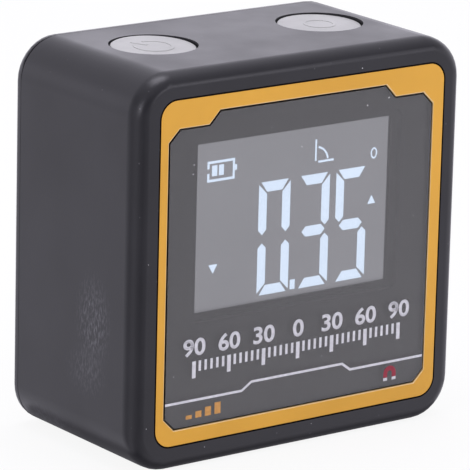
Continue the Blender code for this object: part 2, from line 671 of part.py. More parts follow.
def build_switch(name, x, sink):
    half = SWITCH_SIZE / 2
    switch = add_part(f"{name}_switch", block(
        (x - half, BUTTON_Y - half, KEY_BOARD_TOP + FLAT_GAP), (x + half, BUTTON_Y + half, SWITCH_TOP),
        along=2, corner=BUTTON_EDGE), CHIP_BLACK)
    cut(switch, rod(
        (x, BUTTON_Y, SWITCH_TOP - SWITCH_WELL), (x, BUTTON_Y, SWITCH_TOP + OVERCUT),
        PLUNGER_RADIUS + SLIP_GAP, steps=24))
    foot = SWITCH_TOP - SWITCH_WELL + BUTTON_TRAVEL + EDGE_GAP
    head = BODY_HEIGHT - sink - STEM_LENGTH - FLAT_GAP
    turned(f"{name}_plunger", [
        (0.0, head - foot), (PLUNGER_RADIUS - BUTTON_EDGE, head - foot),
        (PLUNGER_RADIUS, head - foot - BUTTON_EDGE), (PLUNGER_RADIUS, 0.0), (0.0, 0.0)],
        BUTTON_GREY, (x, BUTTON_Y, foot), steps=24)


def build_key_board():
    side = BOARD_SIDE
    board = add_part("key_board", block(
        (-side, KEY_BOARD_FRONT, KEY_BOARD_BOTTOM), (side, KEY_BOARD_BACK, KEY_BOARD_TOP),
        along=2, corner=OVERCUT), BOARD_GREEN)
    hole = SCREW_SHANK_RADIUS + SCREW_HOLE_GAP
    for word, (x, y) in zip(("front", "rear"), key_boss_places()):
        cut(board, rod((x, y, KEY_BOARD_BOTTOM - OVERCUT), (x, y, KEY_BOARD_TOP + OVERCUT), hole))
        build_screw(f"key_screw_{word}", (x, y, KEY_BOARD_BOTTOM - FLAT_GAP), (0, 0, -1), BOARD_SCREW_LENGTH)


# Base magnets
def build_magnets():
    for name, x in (("magnet_left", -MAGNET_X), ("magnet_right", MAGNET_X)):
        turned(name, [
            (0.0, MAGNET_THICKNESS), (MAGNET_RADIUS, MAGNET_THICKNESS), (MAGNET_RADIUS, 0.0), (0.0, 0.0)],
            NICKEL, (x, 0, FLAT_GAP), steps=32)


# Rear cover: plate, locating lip, screw pads and the battery bay in one moulding
def build_rear_cover():
    side = BODY_WIDTH / 2
    cover = add_part("rear_cover", block(
        (-side, COVER_FRONT, 0), (side, BACK, BODY_HEIGHT), corner=CORNER_RADIUS, far=REAR_FILLET), BLACK_SHELL)
    lip_side, lip_low, lip_high = INNER_SIDE - SLIP_GAP, WALL + SLIP_GAP, INNER_TOP - SLIP_GAP
    lip_corner = INNER_CORNER - SLIP_GAP
    lip = LIP_THICKNESS
    fuse(cover, block(
        (-lip_side, COVER_FRONT - LIP_HEIGHT, lip_low), (lip_side, COVER_FRONT + EMBED, lip_high),
        corner=lip_corner))
    cut(cover, block(
        (-lip_side + lip, COVER_FRONT - LIP_HEIGHT - OVERCUT, lip_low + lip),
        (lip_side - lip, COVER_FRONT, lip_high - lip), corner=lip_corner - lip))
    reach = PAD_RADIUS + SLIP_GAP
    for x_sign in (-1, 1):
        for z in BOSS_HEIGHTS:
            near, far = x_sign * (BOSS_X - reach), x_sign * (side - WALL)
            cut(cover, block(
                (min(near, far), COVER_FRONT - LIP_HEIGHT - OVERCUT, z - reach),
                (max(near, far), COVER_FRONT, z + reach)))
    add_battery_bay(cover)
    add_screw_pads(cover)
    return cover


def add_screw_pads(cover):
    head_space = SCREW_HEAD_RADIUS + SLIP_GAP
    for x in (-BOSS_X, BOSS_X):
        for z in BOSS_HEIGHTS:
            fuse(cover, rod(
                (x, COVER_FRONT - PAD_DEPTH, z), (x, COVER_FRONT + EMBED, z), PAD_RADIUS, steps=18))
            seat = COVER_FRONT - FLAT_GAP
            cut(cover, rod((x, seat, z), (x, BACK + OVERCUT, z), head_space, steps=22))
            cut(cover, rod(
                (x, COVER_FRONT - PAD_DEPTH - OVERCUT, z), (x, seat + EMBED, z),
                SCREW_SHANK_RADIUS + SCREW_HOLE_GAP))
            build_screw(
                f"cover_screw_{place_word(x, z, BODY_HEIGHT / 2)}", (x, seat + FLAT_GAP, z), (0, 1, 0),
                COVER_SCREW_LENGTH)


def add_battery_bay(cover):
    rim = BAY_LEDGE + BAY_RIM
    fuse(cover, block(
        (-BAY_OUTER, BAY_FRONT, BAY_BOTTOM - rim), (BAY_OUTER, COVER_FRONT + EMBED, BAY_TOP + rim)))
    cut(cover, block(
        (-BAY_SIDE, BAY_FLOOR_BACK, BAY_BOTTOM), (BAY_SIDE, BACK + OVERCUT, BAY_TOP)))
    cut(cover, block(
        (-DOORWAY_SIDE, COVER_FRONT, DOORWAY_BOTTOM), (DOORWAY_SIDE, BACK + OVERCUT, DOORWAY_TOP),
        corner=DOOR_CORNER + EDGE_GAP))
    divider = (LOWER_CELL_Z + UPPER_CELL_Z) / 2
    half = BAY_DIVIDER_WIDTH / 2
    reach = BAY_SIDE - SPRING_ROOM
    fuse(cover, block(
        (-reach, BAY_FLOOR_BACK - EMBED, divider - half),
        (reach, BAY_FLOOR_BACK + BAY_DIVIDER_HEIGHT, divider + half)))

    # slots for the door's two toes, the notch for its catch and the openings for the contact tabs
    depth = SLIP_GAP + TOE_THICKNESS + EDGE_GAP + SLIP_GAP
    for x in (-TOE_SPACING / 2, TOE_SPACING / 2):
        half = TOE_WIDTH / 2 + SLIP_GAP
        cut(cover, block(
            (x - half, COVER_FRONT - depth, BAY_BOTTOM - rim - OVERCUT),
            (x + half, COVER_FRONT, BAY_BOTTOM + OVERCUT)))
    half = CATCH_WIDTH / 2 + SLIP_GAP
    cut(cover, block(
        (-half, DOOR_FRONT - CATCH_DEPTH - SLIP_GAP, BAY_TOP - OVERCUT),
        (half, COVER_FRONT + EMBED, DOORWAY_TOP)))
    half = TAB_WIDTH / 2 + SLIP_GAP
    for z in (LOWER_CELL_Z, UPPER_CELL_Z):
        cut(cover, block(
            (CONTACT_FACE - SLIP_GAP, BAY_FRONT - OVERCUT, z - half),
            (BAY_SIDE + FLAT_GAP, BAY_FLOOR_BACK + OVERCUT, z + half)))


# Cells, contact plates, springs and leads
def build_cell(name, z, sign):
    """A small round cell. Its positive end points along +X where sign is 1."""
    shoulder = CELL_LENGTH - CELL_NUB_LENGTH
    start = (-sign * (CONTACT_FACE - SPRING_ROOM), CELL_Y, z)
    turned(name, [
        (0.0, CELL_LENGTH), (CELL_NUB_RADIUS, CELL_LENGTH), (CELL_NUB_RADIUS, shoulder),
        (CELL_RADIUS * 0.88, shoulder), (CELL_RADIUS, shoulder - CELL_RADIUS * 0.12),
        (CELL_RADIUS, CELL_RADIUS * 0.08), (CELL_RADIUS * 0.92, 0.0), (0.0, 0.0)],
        CELL_JACKET, start, (sign, 0, 0), CELL_STEPS)


def contact_plate(name, sign, low, high, dimple_z=None, tab_z=None):
    """A sprung plate on the bay's end wall, with a dimple for a positive end and a tab for a lead."""
    inner, outer = sorted((sign * CONTACT_FACE, sign * CONTACT_OUTER))
    half = CONTACT_WIDTH / 2
    plate = add_part(name, block((inner, CELL_Y - half, low), (outer, CELL_Y + half, high)), NICKEL)
    if dimple_z is not None:
        fuse(plate, rod(
            (sign * (CONTACT_FACE + CONTACT_THICKNESS / 2), CELL_Y, dimple_z),
            (sign * (CONTACT_FACE - CONTACT_DIMPLE), CELL_Y, dimple_z), CELL_NUB_RADIUS, CELL_NUB_RADIUS * 0.7))
    if tab_z is not None:
        fuse(plate, block(
            (inner, BAY_FRONT - TAB_REACH, tab_z - TAB_WIDTH / 2),
            (outer, CELL_Y - half + EMBED, tab_z + TAB_WIDTH / 2)))


def build_contacts():
    half = CONTACT_WIDTH / 2
    contact_plate("bridge_plate", -1, LOWER_CELL_Z - half, UPPER_CELL_Z + half, dimple_z=UPPER_CELL_Z)
    contact_plate("positive_plate", 1, LOWER_CELL_Z - half, LOWER_CELL_Z + half, LOWER_CELL_Z, LOWER_CELL_Z)
    contact_plate("negative_plate", 1, UPPER_CELL_Z - half, UPPER_CELL_Z + half, None, UPPER_CELL_Z)
    build_spring("coil_spring_lower", -1, LOWER_CELL_Z)
    build_spring("coil_spring_upper", 1, UPPER_CELL_Z)


def build_spring(name, sign, z):
    """A tapering coil from its plate to the flat end of a cell."""
    steps_per_turn = 12
    count = SPRING_TURNS * steps_per_turn
    near = CONTACT_FACE - FLAT_GAP - SPRING_WIRE_RADIUS
    travel = SPRING_ROOM - 2 * (FLAT_GAP + SPRING_WIRE_RADIUS)
    points = []
    for i in range(count + 1):
        part_way = i / count
        rise = min(max((part_way - SPRING_END_SHARE) / (1 - 2 * SPRING_END_SHARE), 0.0), 1.0)
        radius = SPRING_WIDE_RADIUS + (SPRING_NARROW_RADIUS - SPRING_WIDE_RADIUS) * part_way
        angle = tau * SPRING_TURNS * part_way
        points.append((sign * (near - travel * rise), CELL_Y + radius * cos(angle), z + radius * sin(angle)))
    wire(name, points, SPRING_WIRE_RADIUS, TIN)


def build_lead(name, start, end, bulge, material):
    """A short insulated lead from a contact tab to the main board, on one smooth curve."""
    start, end = Vector(start), Vector(end)
    out, home = start + Vector((0, -bulge, 0)), end + Vector((0, bulge, 0))
    count = 10
    points = []
    for i in range(count + 1):
        t = i / count
        points.append(
            start * (1 - t) ** 3 + out * 3 * t * (1 - t) ** 2 + home * 3 * t ** 2 * (1 - t) + end * t ** 3)
    wire(name, points, LEAD_RADIUS, material)


def build_leads():
    tab_end = BAY_FRONT - TAB_REACH - SLIP_GAP
    board = BOARD_BACK + SLIP_GAP
    x_tab = (CONTACT_FACE + CONTACT_OUTER) / 2
    x_pad = BOARD_SIDE - LEAD_RADIUS * 3
    bulge = (tab_end - board) / 2
    pad_z = STANDOFF_BOTTOM + SCREW_HEAD_RADIUS + SLIP_GAP + RADIO_HEIGHT + SLIP_GAP + LEAD_RADIUS * 2
    build_lead("red_lead", (x_tab, tab_end, LOWER_CELL_Z), (x_pad, board, pad_z), bulge, RED_PVC)
    pitch = LEAD_RADIUS * 4
    build_lead("black_lead", (x_tab, tab_end, UPPER_CELL_Z), (x_pad, board, pad_z + pitch), bulge, BLACK_PVC)


# Battery door: two toes hook under the cover below, and a catch holds the top
def build_battery_door():
    door = add_part("battery_door", block(
        (-DOOR_SIDE, DOOR_FRONT, DOOR_BOTTOM), (DOOR_SIDE, BACK, DOOR_TOP), corner=DOOR_CORNER), BLACK_SHELL)
    toe_back = COVER_FRONT - EDGE_GAP
    toe_front = toe_back - TOE_THICKNESS
    neck_top = DOOR_BOTTOM + TOE_THICKNESS + EMBED
    for x in (-TOE_SPACING / 2, TOE_SPACING / 2):
        half = TOE_WIDTH / 2
        fuse(door, block((x - half, toe_front, DOOR_BOTTOM), (x + half, DOOR_FRONT + EMBED, neck_top)))
        fuse(door, block((x - half, toe_front, DOOR_BOTTOM - TOE_LENGTH), (x + half, toe_back, neck_top)))
    half = CATCH_WIDTH / 2
    fuse(door, block(
        (-half, DOOR_FRONT - CATCH_DEPTH, DOOR_TOP - TOE_THICKNESS - EMBED), (half, DOOR_FRONT + EMBED, DOOR_TOP)))
    for i in range(GRIP_COUNT):
        z = DOOR_TOP - GRIP_DROP - i * GRIP_PITCH
        cut(door, block(
            (-GRIP_WIDTH / 2, BACK - GRIP_DEPTH, z - GRIP_HEIGHT / 2),
            (GRIP_WIDTH / 2, BACK + OVERCUT, z + GRIP_HEIGHT / 2)))
    move_origin(door, (0, BACK, HINGE_Z))


build_front_housing()
build_window()
build_display()
build_main_board()
build_key_board()
for name, x, sink in (("power", POWER_X, POWER_SINK), ("zero", ZERO_X, ZERO_SINK)):
    build_button(f"{name}_button", x, sink)
    build_switch(name, x, sink)
build_magnets()
build_rear_cover()
build_cell("battery_lower", LOWER_CELL_Z, 1)
build_cell("battery_upper", UPPER_CELL_Z, -1)
build_contacts()
build_leads()
build_battery_door()
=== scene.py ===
# Pocket digital angle gauge, dressed for its photograph. Every piece is in metres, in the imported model's
# frame: +Z is up, the window faces -Y, and the origin is the middle of the underside.

from math import copysign, cos, pi, radians, sin

import bmesh
import bpy
from mathutils import Matrix, Quaternion, Vector


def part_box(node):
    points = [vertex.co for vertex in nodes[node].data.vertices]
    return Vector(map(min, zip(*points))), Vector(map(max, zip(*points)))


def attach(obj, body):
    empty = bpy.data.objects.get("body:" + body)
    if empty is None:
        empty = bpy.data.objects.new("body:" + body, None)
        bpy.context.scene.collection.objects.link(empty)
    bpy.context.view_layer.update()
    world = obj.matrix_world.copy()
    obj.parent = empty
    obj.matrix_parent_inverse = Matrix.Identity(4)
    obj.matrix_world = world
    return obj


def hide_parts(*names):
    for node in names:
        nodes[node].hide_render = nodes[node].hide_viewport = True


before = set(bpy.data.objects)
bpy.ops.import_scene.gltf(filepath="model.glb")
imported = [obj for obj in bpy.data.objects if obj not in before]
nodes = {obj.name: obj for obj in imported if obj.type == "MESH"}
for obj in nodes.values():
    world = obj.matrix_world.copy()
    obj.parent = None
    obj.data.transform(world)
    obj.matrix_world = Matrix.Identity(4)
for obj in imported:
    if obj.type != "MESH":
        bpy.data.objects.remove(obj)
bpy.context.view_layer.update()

# Camera
# A product photograph taken with a long lens, from the left and a little above the gauge.
CAMERA_AZIMUTH, CAMERA_ELEVATION, CAMERA_ROLL = -36.779, 15.226, 1.439
CAMERA_DISTANCE = 0.63091
CAMERA_TARGET = Vector((-0.0010489, -0.0011, 0.0296008))
CAMERA_LENS = 318.77
CAMERA_SENSOR = 36.0


def direction_of(azimuth, elevation):
    """The direction at one angle from -Y towards +X and another above the floor, both in degrees."""
    around, up = radians(azimuth), radians(elevation)
    return Vector((sin(around) * cos(up), -cos(around) * cos(up), sin(up)))


def aim_at_gauge(thing, direction, distance, roll=0.0):
    thing.location = CAMERA_TARGET + direction * distance
    thing.rotation_mode = "QUATERNION"
    thing.rotation_quaternion = direction.to_track_quat("Z", "Y") @ Quaternion((0, 0, 1), roll)
    bpy.context.scene.collection.objects.link(thing)


camera_lens = bpy.data.cameras.new("camera")
camera_lens.lens = CAMERA_LENS
camera_lens.sensor_width = CAMERA_SENSOR
camera_lens.clip_start = 0.01
camera = bpy.data.objects.new("camera", camera_lens)
aim_at_gauge(camera, direction_of(CAMERA_AZIMUTH, CAMERA_ELEVATION), CAMERA_DISTANCE, radians(CAMERA_ROLL))
bpy.context.scene.camera = camera
bpy.context.scene.view_settings.view_transform = "Standard"


# Studio
# A white sweep that shows white to the eye and through glass, and keeps a faint shadow under the gauge. In
# gloss, sweep and surround are bright behind, dark at the camera's side and beside the left edge, and the
# sweep is dark under the gauge. A soft box hangs overhead, with a strip at each side and a fill in front.
def add_node(material, kind, inputs=None, **settings):
    """A shader node with its settings, and its sockets either set or linked."""
    node = material.node_tree.nodes.new(kind)
    for key, value in settings.items():
        setattr(node, key, value)
    for socket, value in (inputs or {}).items():
        if isinstance(value, bpy.types.NodeSocket):
            material.node_tree.links.new(value, node.inputs[socket])
        else:
            node.inputs[socket].default_value = value
    return node


def link(material, value, shader, socket):
    material.node_tree.links.new(value, shader.inputs[socket])


def calculate(material, operation, *values):
    return add_node(material, "ShaderNodeMath", dict(enumerate(values)), operation=operation).outputs[0]


def calculate_vector(material, operation, *values):
    node = add_node(material, "ShaderNodeVectorMath", dict(enumerate(values)), operation=operation)
    return node.outputs["Value" if operation == "LENGTH" else 0]


def ranged(material, value, low, high, first, last, smooth=False):
    """The value, with its range from low to high turned into the range from first to last."""
    return add_node(material, "ShaderNodeMapRange", {
        "Value": value, "From Min": low, "From Max": high, "To Min": first, "To Max": last},
        interpolation_type="SMOOTHSTEP" if smooth else "LINEAR").outputs[0]


def mixed(material, share, first, last):
    """A mix of two colours, each a socket or three numbers."""
    first, last = (tone if isinstance(tone, bpy.types.NodeSocket) else (*tone, 1) for tone in (first, last))
    return add_node(material, "ShaderNodeMixRGB", {"Fac": share, "Color1": first, "Color2": last}).outputs[0]


def mixed_value(material, share, first, last):
    return add_node(
        material, "ShaderNodeMix", {"Factor": share, "A": first, "B": last}, data_type="FLOAT").outputs[0]


def object_place(material):
    return add_node(material, "ShaderNodeTexCoord").outputs["Object"]


def new_mesh_object(name, mesh, *finishes):
    piece = bpy.data.objects.new(name, mesh)
    bpy.context.scene.collection.objects.link(piece)
    for finish in finishes:
        mesh.materials.append(finish)
    return piece


FLOOR_SIZE = 6.0
FLOOR_LEVEL = -0.00002
FLOOR_COLOUR = (0.90, 0.90, 0.90, 1.0)
FLOOR_SHOWN_WHITE = 0.90
WHITE = (1, 1, 1)
LIGHT_TINT = (1.0, 0.975, 1.09)
BRIGHTEST = 2.0
SWEEP_AROUND = (
    (-180, 0.98), (-155, 1.00), (-143, 1.05), (-132, 0.94), (-119, 0.34), (-106, 0.66), (-88, 1.08),
    (-68, 0.64), (-46, 0.54), (-22, 0.46), (6, 0.62), (35, 0.90), (54, 1.10), (90, 1.15), (180, 0.98))
SKY_AROUND = (
    (-180, 1.80), (-155, 1.80), (-143, 1.10), (-125, 0.50), (-103, 0.95), (-75, 0.80), (-45, 0.35),
    (-28, 0.35), (4, 0.80), (26, 1.00), (45, 1.10), (86, 1.20), (110, 1.35), (125, 1.45), (143, 1.68),
    (180, 1.80))
SKY_FALL = (0.20, 0.42, 1.0, 0.5)
SKY_CROWN = (0.35, 0.75, 0.0, 1.0)
SKY_CROWN_LEVEL = 0.75
SWEEP_CENTRE = (-0.030, -0.014)
GAUGE_FOOT = (0.030, 0.0161, 1.0)
FOOT_SHADE = (0.0, 0.0026, 0.25, 1.0)
LAMPS = {
    "overhead_box": (162, 80, 0.62, (0.34, 0.34), 1.50),
    "left_strip": (-75, 19, 0.60, (0.14, 0.24), 0.50),
    "right_strip": (26, 12, 0.60, (0.34, 0.14), 0.30),
    "front_fill": (-10, 25, 0.70, (0.30, 0.30), 0.12)}


def brightness_around(material, around, x, y):
    """The studio's brightness in the direction of x and y, by its angle from -Y towards +X."""
    turn = calculate(material, "ARCTAN2", x, calculate(material, "MULTIPLY", y, -1.0))
    ramp = add_node(material, "ShaderNodeValToRGB", {0: ranged(material, turn, -pi, pi, 0.0, 1.0)})
    stops = ramp.color_ramp.elements
    stops.remove(stops[1])
    for count, (angle, brightness) in enumerate(around):
        stop = stops.new((angle + 180) / 360) if count else stops[0]
        stop.position = (angle + 180) / 360
        stop.color = (*[brightness / BRIGHTEST] * 3, 1.0)
    return calculate(material, "MULTIPLY", ramp.outputs[0], BRIGHTEST)


sweep_finish = bpy.data.materials.new("white_floor")
sweep_finish.use_nodes = True
sweep_finish.node_tree.nodes.clear()
rays = add_node(sweep_finish, "ShaderNodeLightPath").outputs
to_eye_or_gloss = calculate(sweep_finish, "MAXIMUM", rays["Is Camera Ray"], rays["Is Glossy Ray"])
shown = calculate(sweep_finish, "MAXIMUM", to_eye_or_gloss, rays["Is Transmission Ray"])
white_share = calculate(sweep_finish, "MULTIPLY", shown, FLOOR_SHOWN_WHITE)
sweep_place = object_place(sweep_finish)
sweep_point = add_node(sweep_finish, "ShaderNodeSeparateXYZ", {0: sweep_place}).outputs
sweep_x = calculate(sweep_finish, "SUBTRACT", sweep_point["X"], SWEEP_CENTRE[0])
sweep_y = calculate(sweep_finish, "SUBTRACT", sweep_point["Y"], SWEEP_CENTRE[1])
mirrored = calculate_vector(sweep_finish, "ABSOLUTE", sweep_place)
beside = calculate_vector(sweep_finish, "SUBTRACT", mirrored, GAUGE_FOOT)
outside = calculate_vector(sweep_finish, "MAXIMUM", beside, (0.0, 0.0, 0.0))
from_foot = calculate_vector(sweep_finish, "LENGTH", outside)
sweep_level = calculate(
    sweep_finish, "MULTIPLY", brightness_around(sweep_finish, SWEEP_AROUND, sweep_x, sweep_y),
    ranged(sweep_finish, from_foot, *FOOT_SHADE, smooth=True))
white = add_node(sweep_finish, "ShaderNodeEmission", {
    "Color": mixed(sweep_finish, rays["Is Glossy Ray"], WHITE, LIGHT_TINT),
    "Strength": mixed_value(sweep_finish, rays["Is Glossy Ray"], 1.0, sweep_level)})
paper = add_node(sweep_finish, "ShaderNodeBsdfDiffuse", {"Color": FLOOR_COLOUR})
lit_side = add_node(sweep_finish, "ShaderNodeMixShader", {
    0: white_share, 1: paper.outputs[0], 2: white.outputs[0]})
under_side = add_node(sweep_finish, "ShaderNodeBsdfTransparent")
from_below = add_node(sweep_finish, "ShaderNodeNewGeometry").outputs["Backfacing"]
both_sides = add_node(sweep_finish, "ShaderNodeMixShader", {
    0: from_below, 1: lit_side.outputs[0], 2: under_side.outputs[0]})
add_node(sweep_finish, "ShaderNodeOutputMaterial", {"Surface": both_sides.outputs[0]})
floor_mesh = bpy.data.meshes.new("floor")
floor_mesh.from_pydata(
    [(x * FLOOR_SIZE / 2, y * FLOOR_SIZE / 2, FLOOR_LEVEL) for x, y in ((-1, -1), (1, -1), (1, 1), (-1, 1))],
    [], [(0, 1, 2, 3)])
floor = new_mesh_object("floor", floor_mesh, sweep_finish)

surround = bpy.data.worlds.new("surround")
surround.use_nodes = True
sky = surround.node_tree.nodes["Background"]
heading_in = add_node(surround, "ShaderNodeTexCoord").outputs["Generated"]
heading = add_node(surround, "ShaderNodeSeparateXYZ", {0: heading_in}).outputs
sky_around = brightness_around(surround, SKY_AROUND, heading["X"], heading["Y"])
sky_fall = ranged(surround, heading["Z"], *SKY_FALL, smooth=True)
sky_low = calculate(surround, "MULTIPLY", sky_around, sky_fall)
crown_share = ranged(surround, heading["Z"], *SKY_CROWN, smooth=True)
sky_level = mixed_value(surround, crown_share, sky_low, SKY_CROWN_LEVEL)
to_eye = add_node(surround, "ShaderNodeLightPath").outputs["Is Camera Ray"]
link(surround, mixed(surround, to_eye, LIGHT_TINT, WHITE), sky, "Color")
link(surround, mixed_value(surround, to_eye, sky_level, 1.0), sky, "Strength")
bpy.context.scene.world = surround

for lamp_name, (lamp_azimuth, lamp_elevation, distance, size, power) in LAMPS.items():
    lamp = bpy.data.lights.new(lamp_name, "AREA")
    lamp.shape = "RECTANGLE"
    lamp.size, lamp.size_y = size
    lamp.energy = power
    lamp.color = LIGHT_TINT
    light = bpy.data.objects.new(lamp_name, lamp)
    light.visible_glossy = lamp_name != "front_fill"
    aim_at_gauge(light, direction_of(lamp_azimuth, lamp_elevation), distance)

# Front housing
# One deep tub of black ABS from an injection mould, with screw bosses, button collars and magnet cups
# inside. The mould leaves a fine grain and a slight radius on each edge. The front edge is rounded deeper on
# the left and the top. The window's recess lies a hair to the right, and its walls are painted a dull, darker
# black as shade.
FRONT_FACE = -0.0161
BODY_BOX = (0.030, 0.0, 0.0602, 0.0065)
PANEL_BOX = (0.02605, 0.0041, 0.0562, 0.0030)
NEAR = 0.00005
VERY_NEAR = 0.00003
FILLET_ACROSS = 0.0020
FILLET_DEEP = 0.0030
FILLET_BLEND = 0.5
RECESS_GAP = 0.0002
RECESS_DEEP = 0.0013
RECESS_GROWTH = 0.00020
WINDOW_CORNER = 0.0026
WINDOW_SHIFT = Vector((0.00024, 0.0, -0.00004))
MOULD_EDGE = 0.00010
MOULD_EDGE_ANGLE = 35
WELD_DISTANCE = 0.000002
FLAT_ANGLE = 1.0
CLOUD_RANGE = (0.35, 0.65)
NOISE_RANGE = (0.3, 0.7)
BLACK_ABS = (0.0080, 0.0078, 0.0105)
BLACK_ABS_WORN = (0.0120, 0.0118, 0.0150)
BLACK_RUBBED = (0.22, 0.22, 0.24)
BLACK_ROUGH = (0.30, 0.38)
BLACK_IOR = 1.46
BLACK_GRAIN = (2600.0, 0.000012)
BLACK_DUST = (620.0, 0.05, 0.30, (0.06, 0.06, 0.065))
STREAK_SCALE = 1700.0
STREAK_STRETCH = (1.0, 1.7, 0.55)
STREAK_RANGE = (0.47, 0.66)


def mesh_of(shape, name):
    """The mesh of a shape, which is not edited further."""
    mesh = bpy.data.meshes.new(name)
    shape.to_mesh(mesh)
    shape.free()
    return mesh


def verts_in(items):
    return [item for item in items if isinstance(item, bmesh.types.BMVert)]


def softened_copy(name, node, edge, *finishes, edge_finish=0):
    """A finer stand-in for a moulded node, with its sharp edges slightly rounded."""
    shape = bmesh.new()
    shape.from_mesh(nodes[node].data)
    bmesh.ops.remove_doubles(shape, verts=shape.verts[:], dist=WELD_DISTANCE)
    bmesh.ops.dissolve_limit(
        shape, angle_limit=radians(FLAT_ANGLE), use_dissolve_boundaries=False, verts=shape.verts[:],
        edges=shape.edges[:])
    mesh = mesh_of(shape, name)
    if "custom_normal" in mesh.attributes:
        mesh.attributes.remove(mesh.attributes["custom_normal"])
    mesh.materials.clear()
    mesh.shade_smooth()
    piece = new_mesh_object(name, mesh, *finishes)
    rounding = piece.modifiers.new("mould_edge", "BEVEL")
    rounding.limit_method = "ANGLE"
    rounding.angle_limit = radians(MOULD_EDGE_ANGLE)
    rounding.width = edge
    rounding.segments = 2
    rounding.material = edge_finish
    flats = piece.modifiers.new("flat_faces", "WEIGHTED_NORMAL")
    flats.keep_sharp = True
    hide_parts(node)
    return piece


def new_finish(name, roughness, metallic=0.0, ior=1.5, specular=0.5):
    material = bpy.data.materials.new(name)
    material.use_nodes = True
    shader = material.node_tree.nodes["Principled BSDF"]
    shader.inputs["Roughness"].default_value = roughness
    shader.inputs["Metallic"].default_value = metallic
    shader.inputs["IOR"].default_value = ior
    shader.inputs["Specular IOR Level"].default_value = specular
    return material, shader


def noise(material, place, scale, detail, roughness=0.5):
    return add_node(material, "ShaderNodeTexNoise", {
        "Vector": place, "Scale": scale, "Detail": detail, "Roughness": roughness}).outputs[0]


def cloudy(material, place, scale, first, second, detail=3.0):
    """A colour that drifts between two tones."""
    share = ranged(material, noise(material, place, scale, detail), *CLOUD_RANGE, 0.0, 1.0)
    return mixed(material, share, first, second)


def uneven_polish(material, shader, place, scale, low, high):
    polish = ranged(material, noise(material, place, scale, 3.0), *NOISE_RANGE, low, high)
    link(material, polish, shader, "Roughness")


def grained(material, shader, place, scale, height):
    """The fine grain of a spark-finished mould."""
    bump = add_node(material, "ShaderNodeBump", {
        "Height": noise(material, place, scale, 2.0), "Strength": 0.6, "Distance": height})
    link(material, bump.outputs[0], shader, "Normal")


def clouded_finish(name, roughness, scale, first, second, polish=None, grain=None, **optics):
    """A finish whose colour drifts between two tones, with an uneven polish and a grain where given."""
    material, shader = new_finish(name, roughness, **optics)
    place = object_place(material)
    link(material, cloudy(material, place, scale, first, second), shader, "Base Color")
    if polish:
        uneven_polish(material, shader, place, *polish)
    if grain:
        grained(material, shader, place, *grain)
    return material


def with_dust(material, place, colour, cells, radius, share, dust_colour):
    """The colour with small specks on it: a dot in a share of the cells."""
    grid = add_node(material, "ShaderNodeTexVoronoi", {"Vector": place, "Scale": cells}).outputs
    dot = ranged(material, grid["Distance"], radius, radius * 2.0, 1.0, 0.0)
    chosen = add_node(material, "ShaderNodeSeparateColor", {0: grid["Color"]}).outputs[0]
    gate = calculate(material, "GREATER_THAN", chosen, 1.0 - share)
    return mixed(material, calculate(material, "MULTIPLY", dot, gate), colour, dust_colour)


def with_rubbing(material, place, colour, centre, reach, strength, lean):
    """The colour with fine streaks round a point, which fade out over the reach on each axis."""
    offset = calculate_vector(material, "SUBTRACT", place, centre)
    distance = calculate_vector(material, "LENGTH", calculate_vector(material, "DIVIDE", offset, reach))
    fade = ranged(material, distance, 0.1, 1.0, strength, 0.0, smooth=True)
    stretched = add_node(material, "ShaderNodeMapping", {
        "Vector": place, "Rotation": (radians(lean), 0.0, 0.0), "Scale": STREAK_STRETCH}).outputs[0]
    streaks = ranged(material, noise(material, stretched, STREAK_SCALE, 2.0, 0.6), *STREAK_RANGE, 0.0, 1.0)
    return mixed(material, calculate(material, "MULTIPLY", fade, streaks), colour, BLACK_RUBBED)


def moulded_black(name, *rubbed):
    """Black ABS with a fine grain, cloudy wear, dust specks and rubbed patches."""
    material, shader = new_finish(name, BLACK_ROUGH[0], ior=BLACK_IOR)
    place = object_place(material)
    colour = cloudy(material, place, 70.0, BLACK_ABS, BLACK_ABS_WORN, 4.0)
    for patch in rubbed:
        colour = with_rubbing(material, place, colour, *patch)
    link(material, with_dust(material, place, colour, *BLACK_DUST), shader, "Base Color")
    uneven_polish(material, shader, place, 90.0, *BLACK_ROUGH)
    grained(material, shader, place, *BLACK_GRAIN)
    return material


def outline_distance(x, z, side, low, high, corner):
    """How far a point lies outside a rectangle with round corners. It is negative inside."""
    reach_x = abs(x) - side + corner
    reach_z = abs(z - (low + high) / 2) - (high - low) / 2 + corner
    outside = Vector((max(reach_x, 0.0), max(reach_z, 0.0))).length
    return outside + min(max(reach_x, reach_z), 0.0) - corner


def front_rounding(point):
    """How far a point lies in from the outline and back from the front, or None off the rounding."""
    inset = -outline_distance(point.x, point.z, *BODY_BOX)
    depth = point.y - FRONT_FACE
    limit = FILLET_ACROSS + NEAR
    return (inset, depth) if inset < limit and depth < limit else None


def on_window_rim(point):
    return outline_distance(point.x, point.z, *PANEL_BOX) > -NEAR


def faces_sideways(face):
    return abs(face.normal.y) < 0.1


def with_window_corner(point, growth=0.0):
    """A point of the window's rim or recess, grown and shifted, with the smaller corner radius."""
    side, low, high, corner = PANEL_BOX
    right = copysign(1, point.x)
    up = copysign(1, point.z - (low + high) / 2)
    centre = Vector((right * (side - corner), point.y, high - corner if up > 0 else low + corner))
    outward = Vector((right, 0.0, up))
    away = (point - centre).normalized()
    return point + (outward - away) * (corner - WINDOW_CORNER) + away * growth + WINDOW_SHIFT


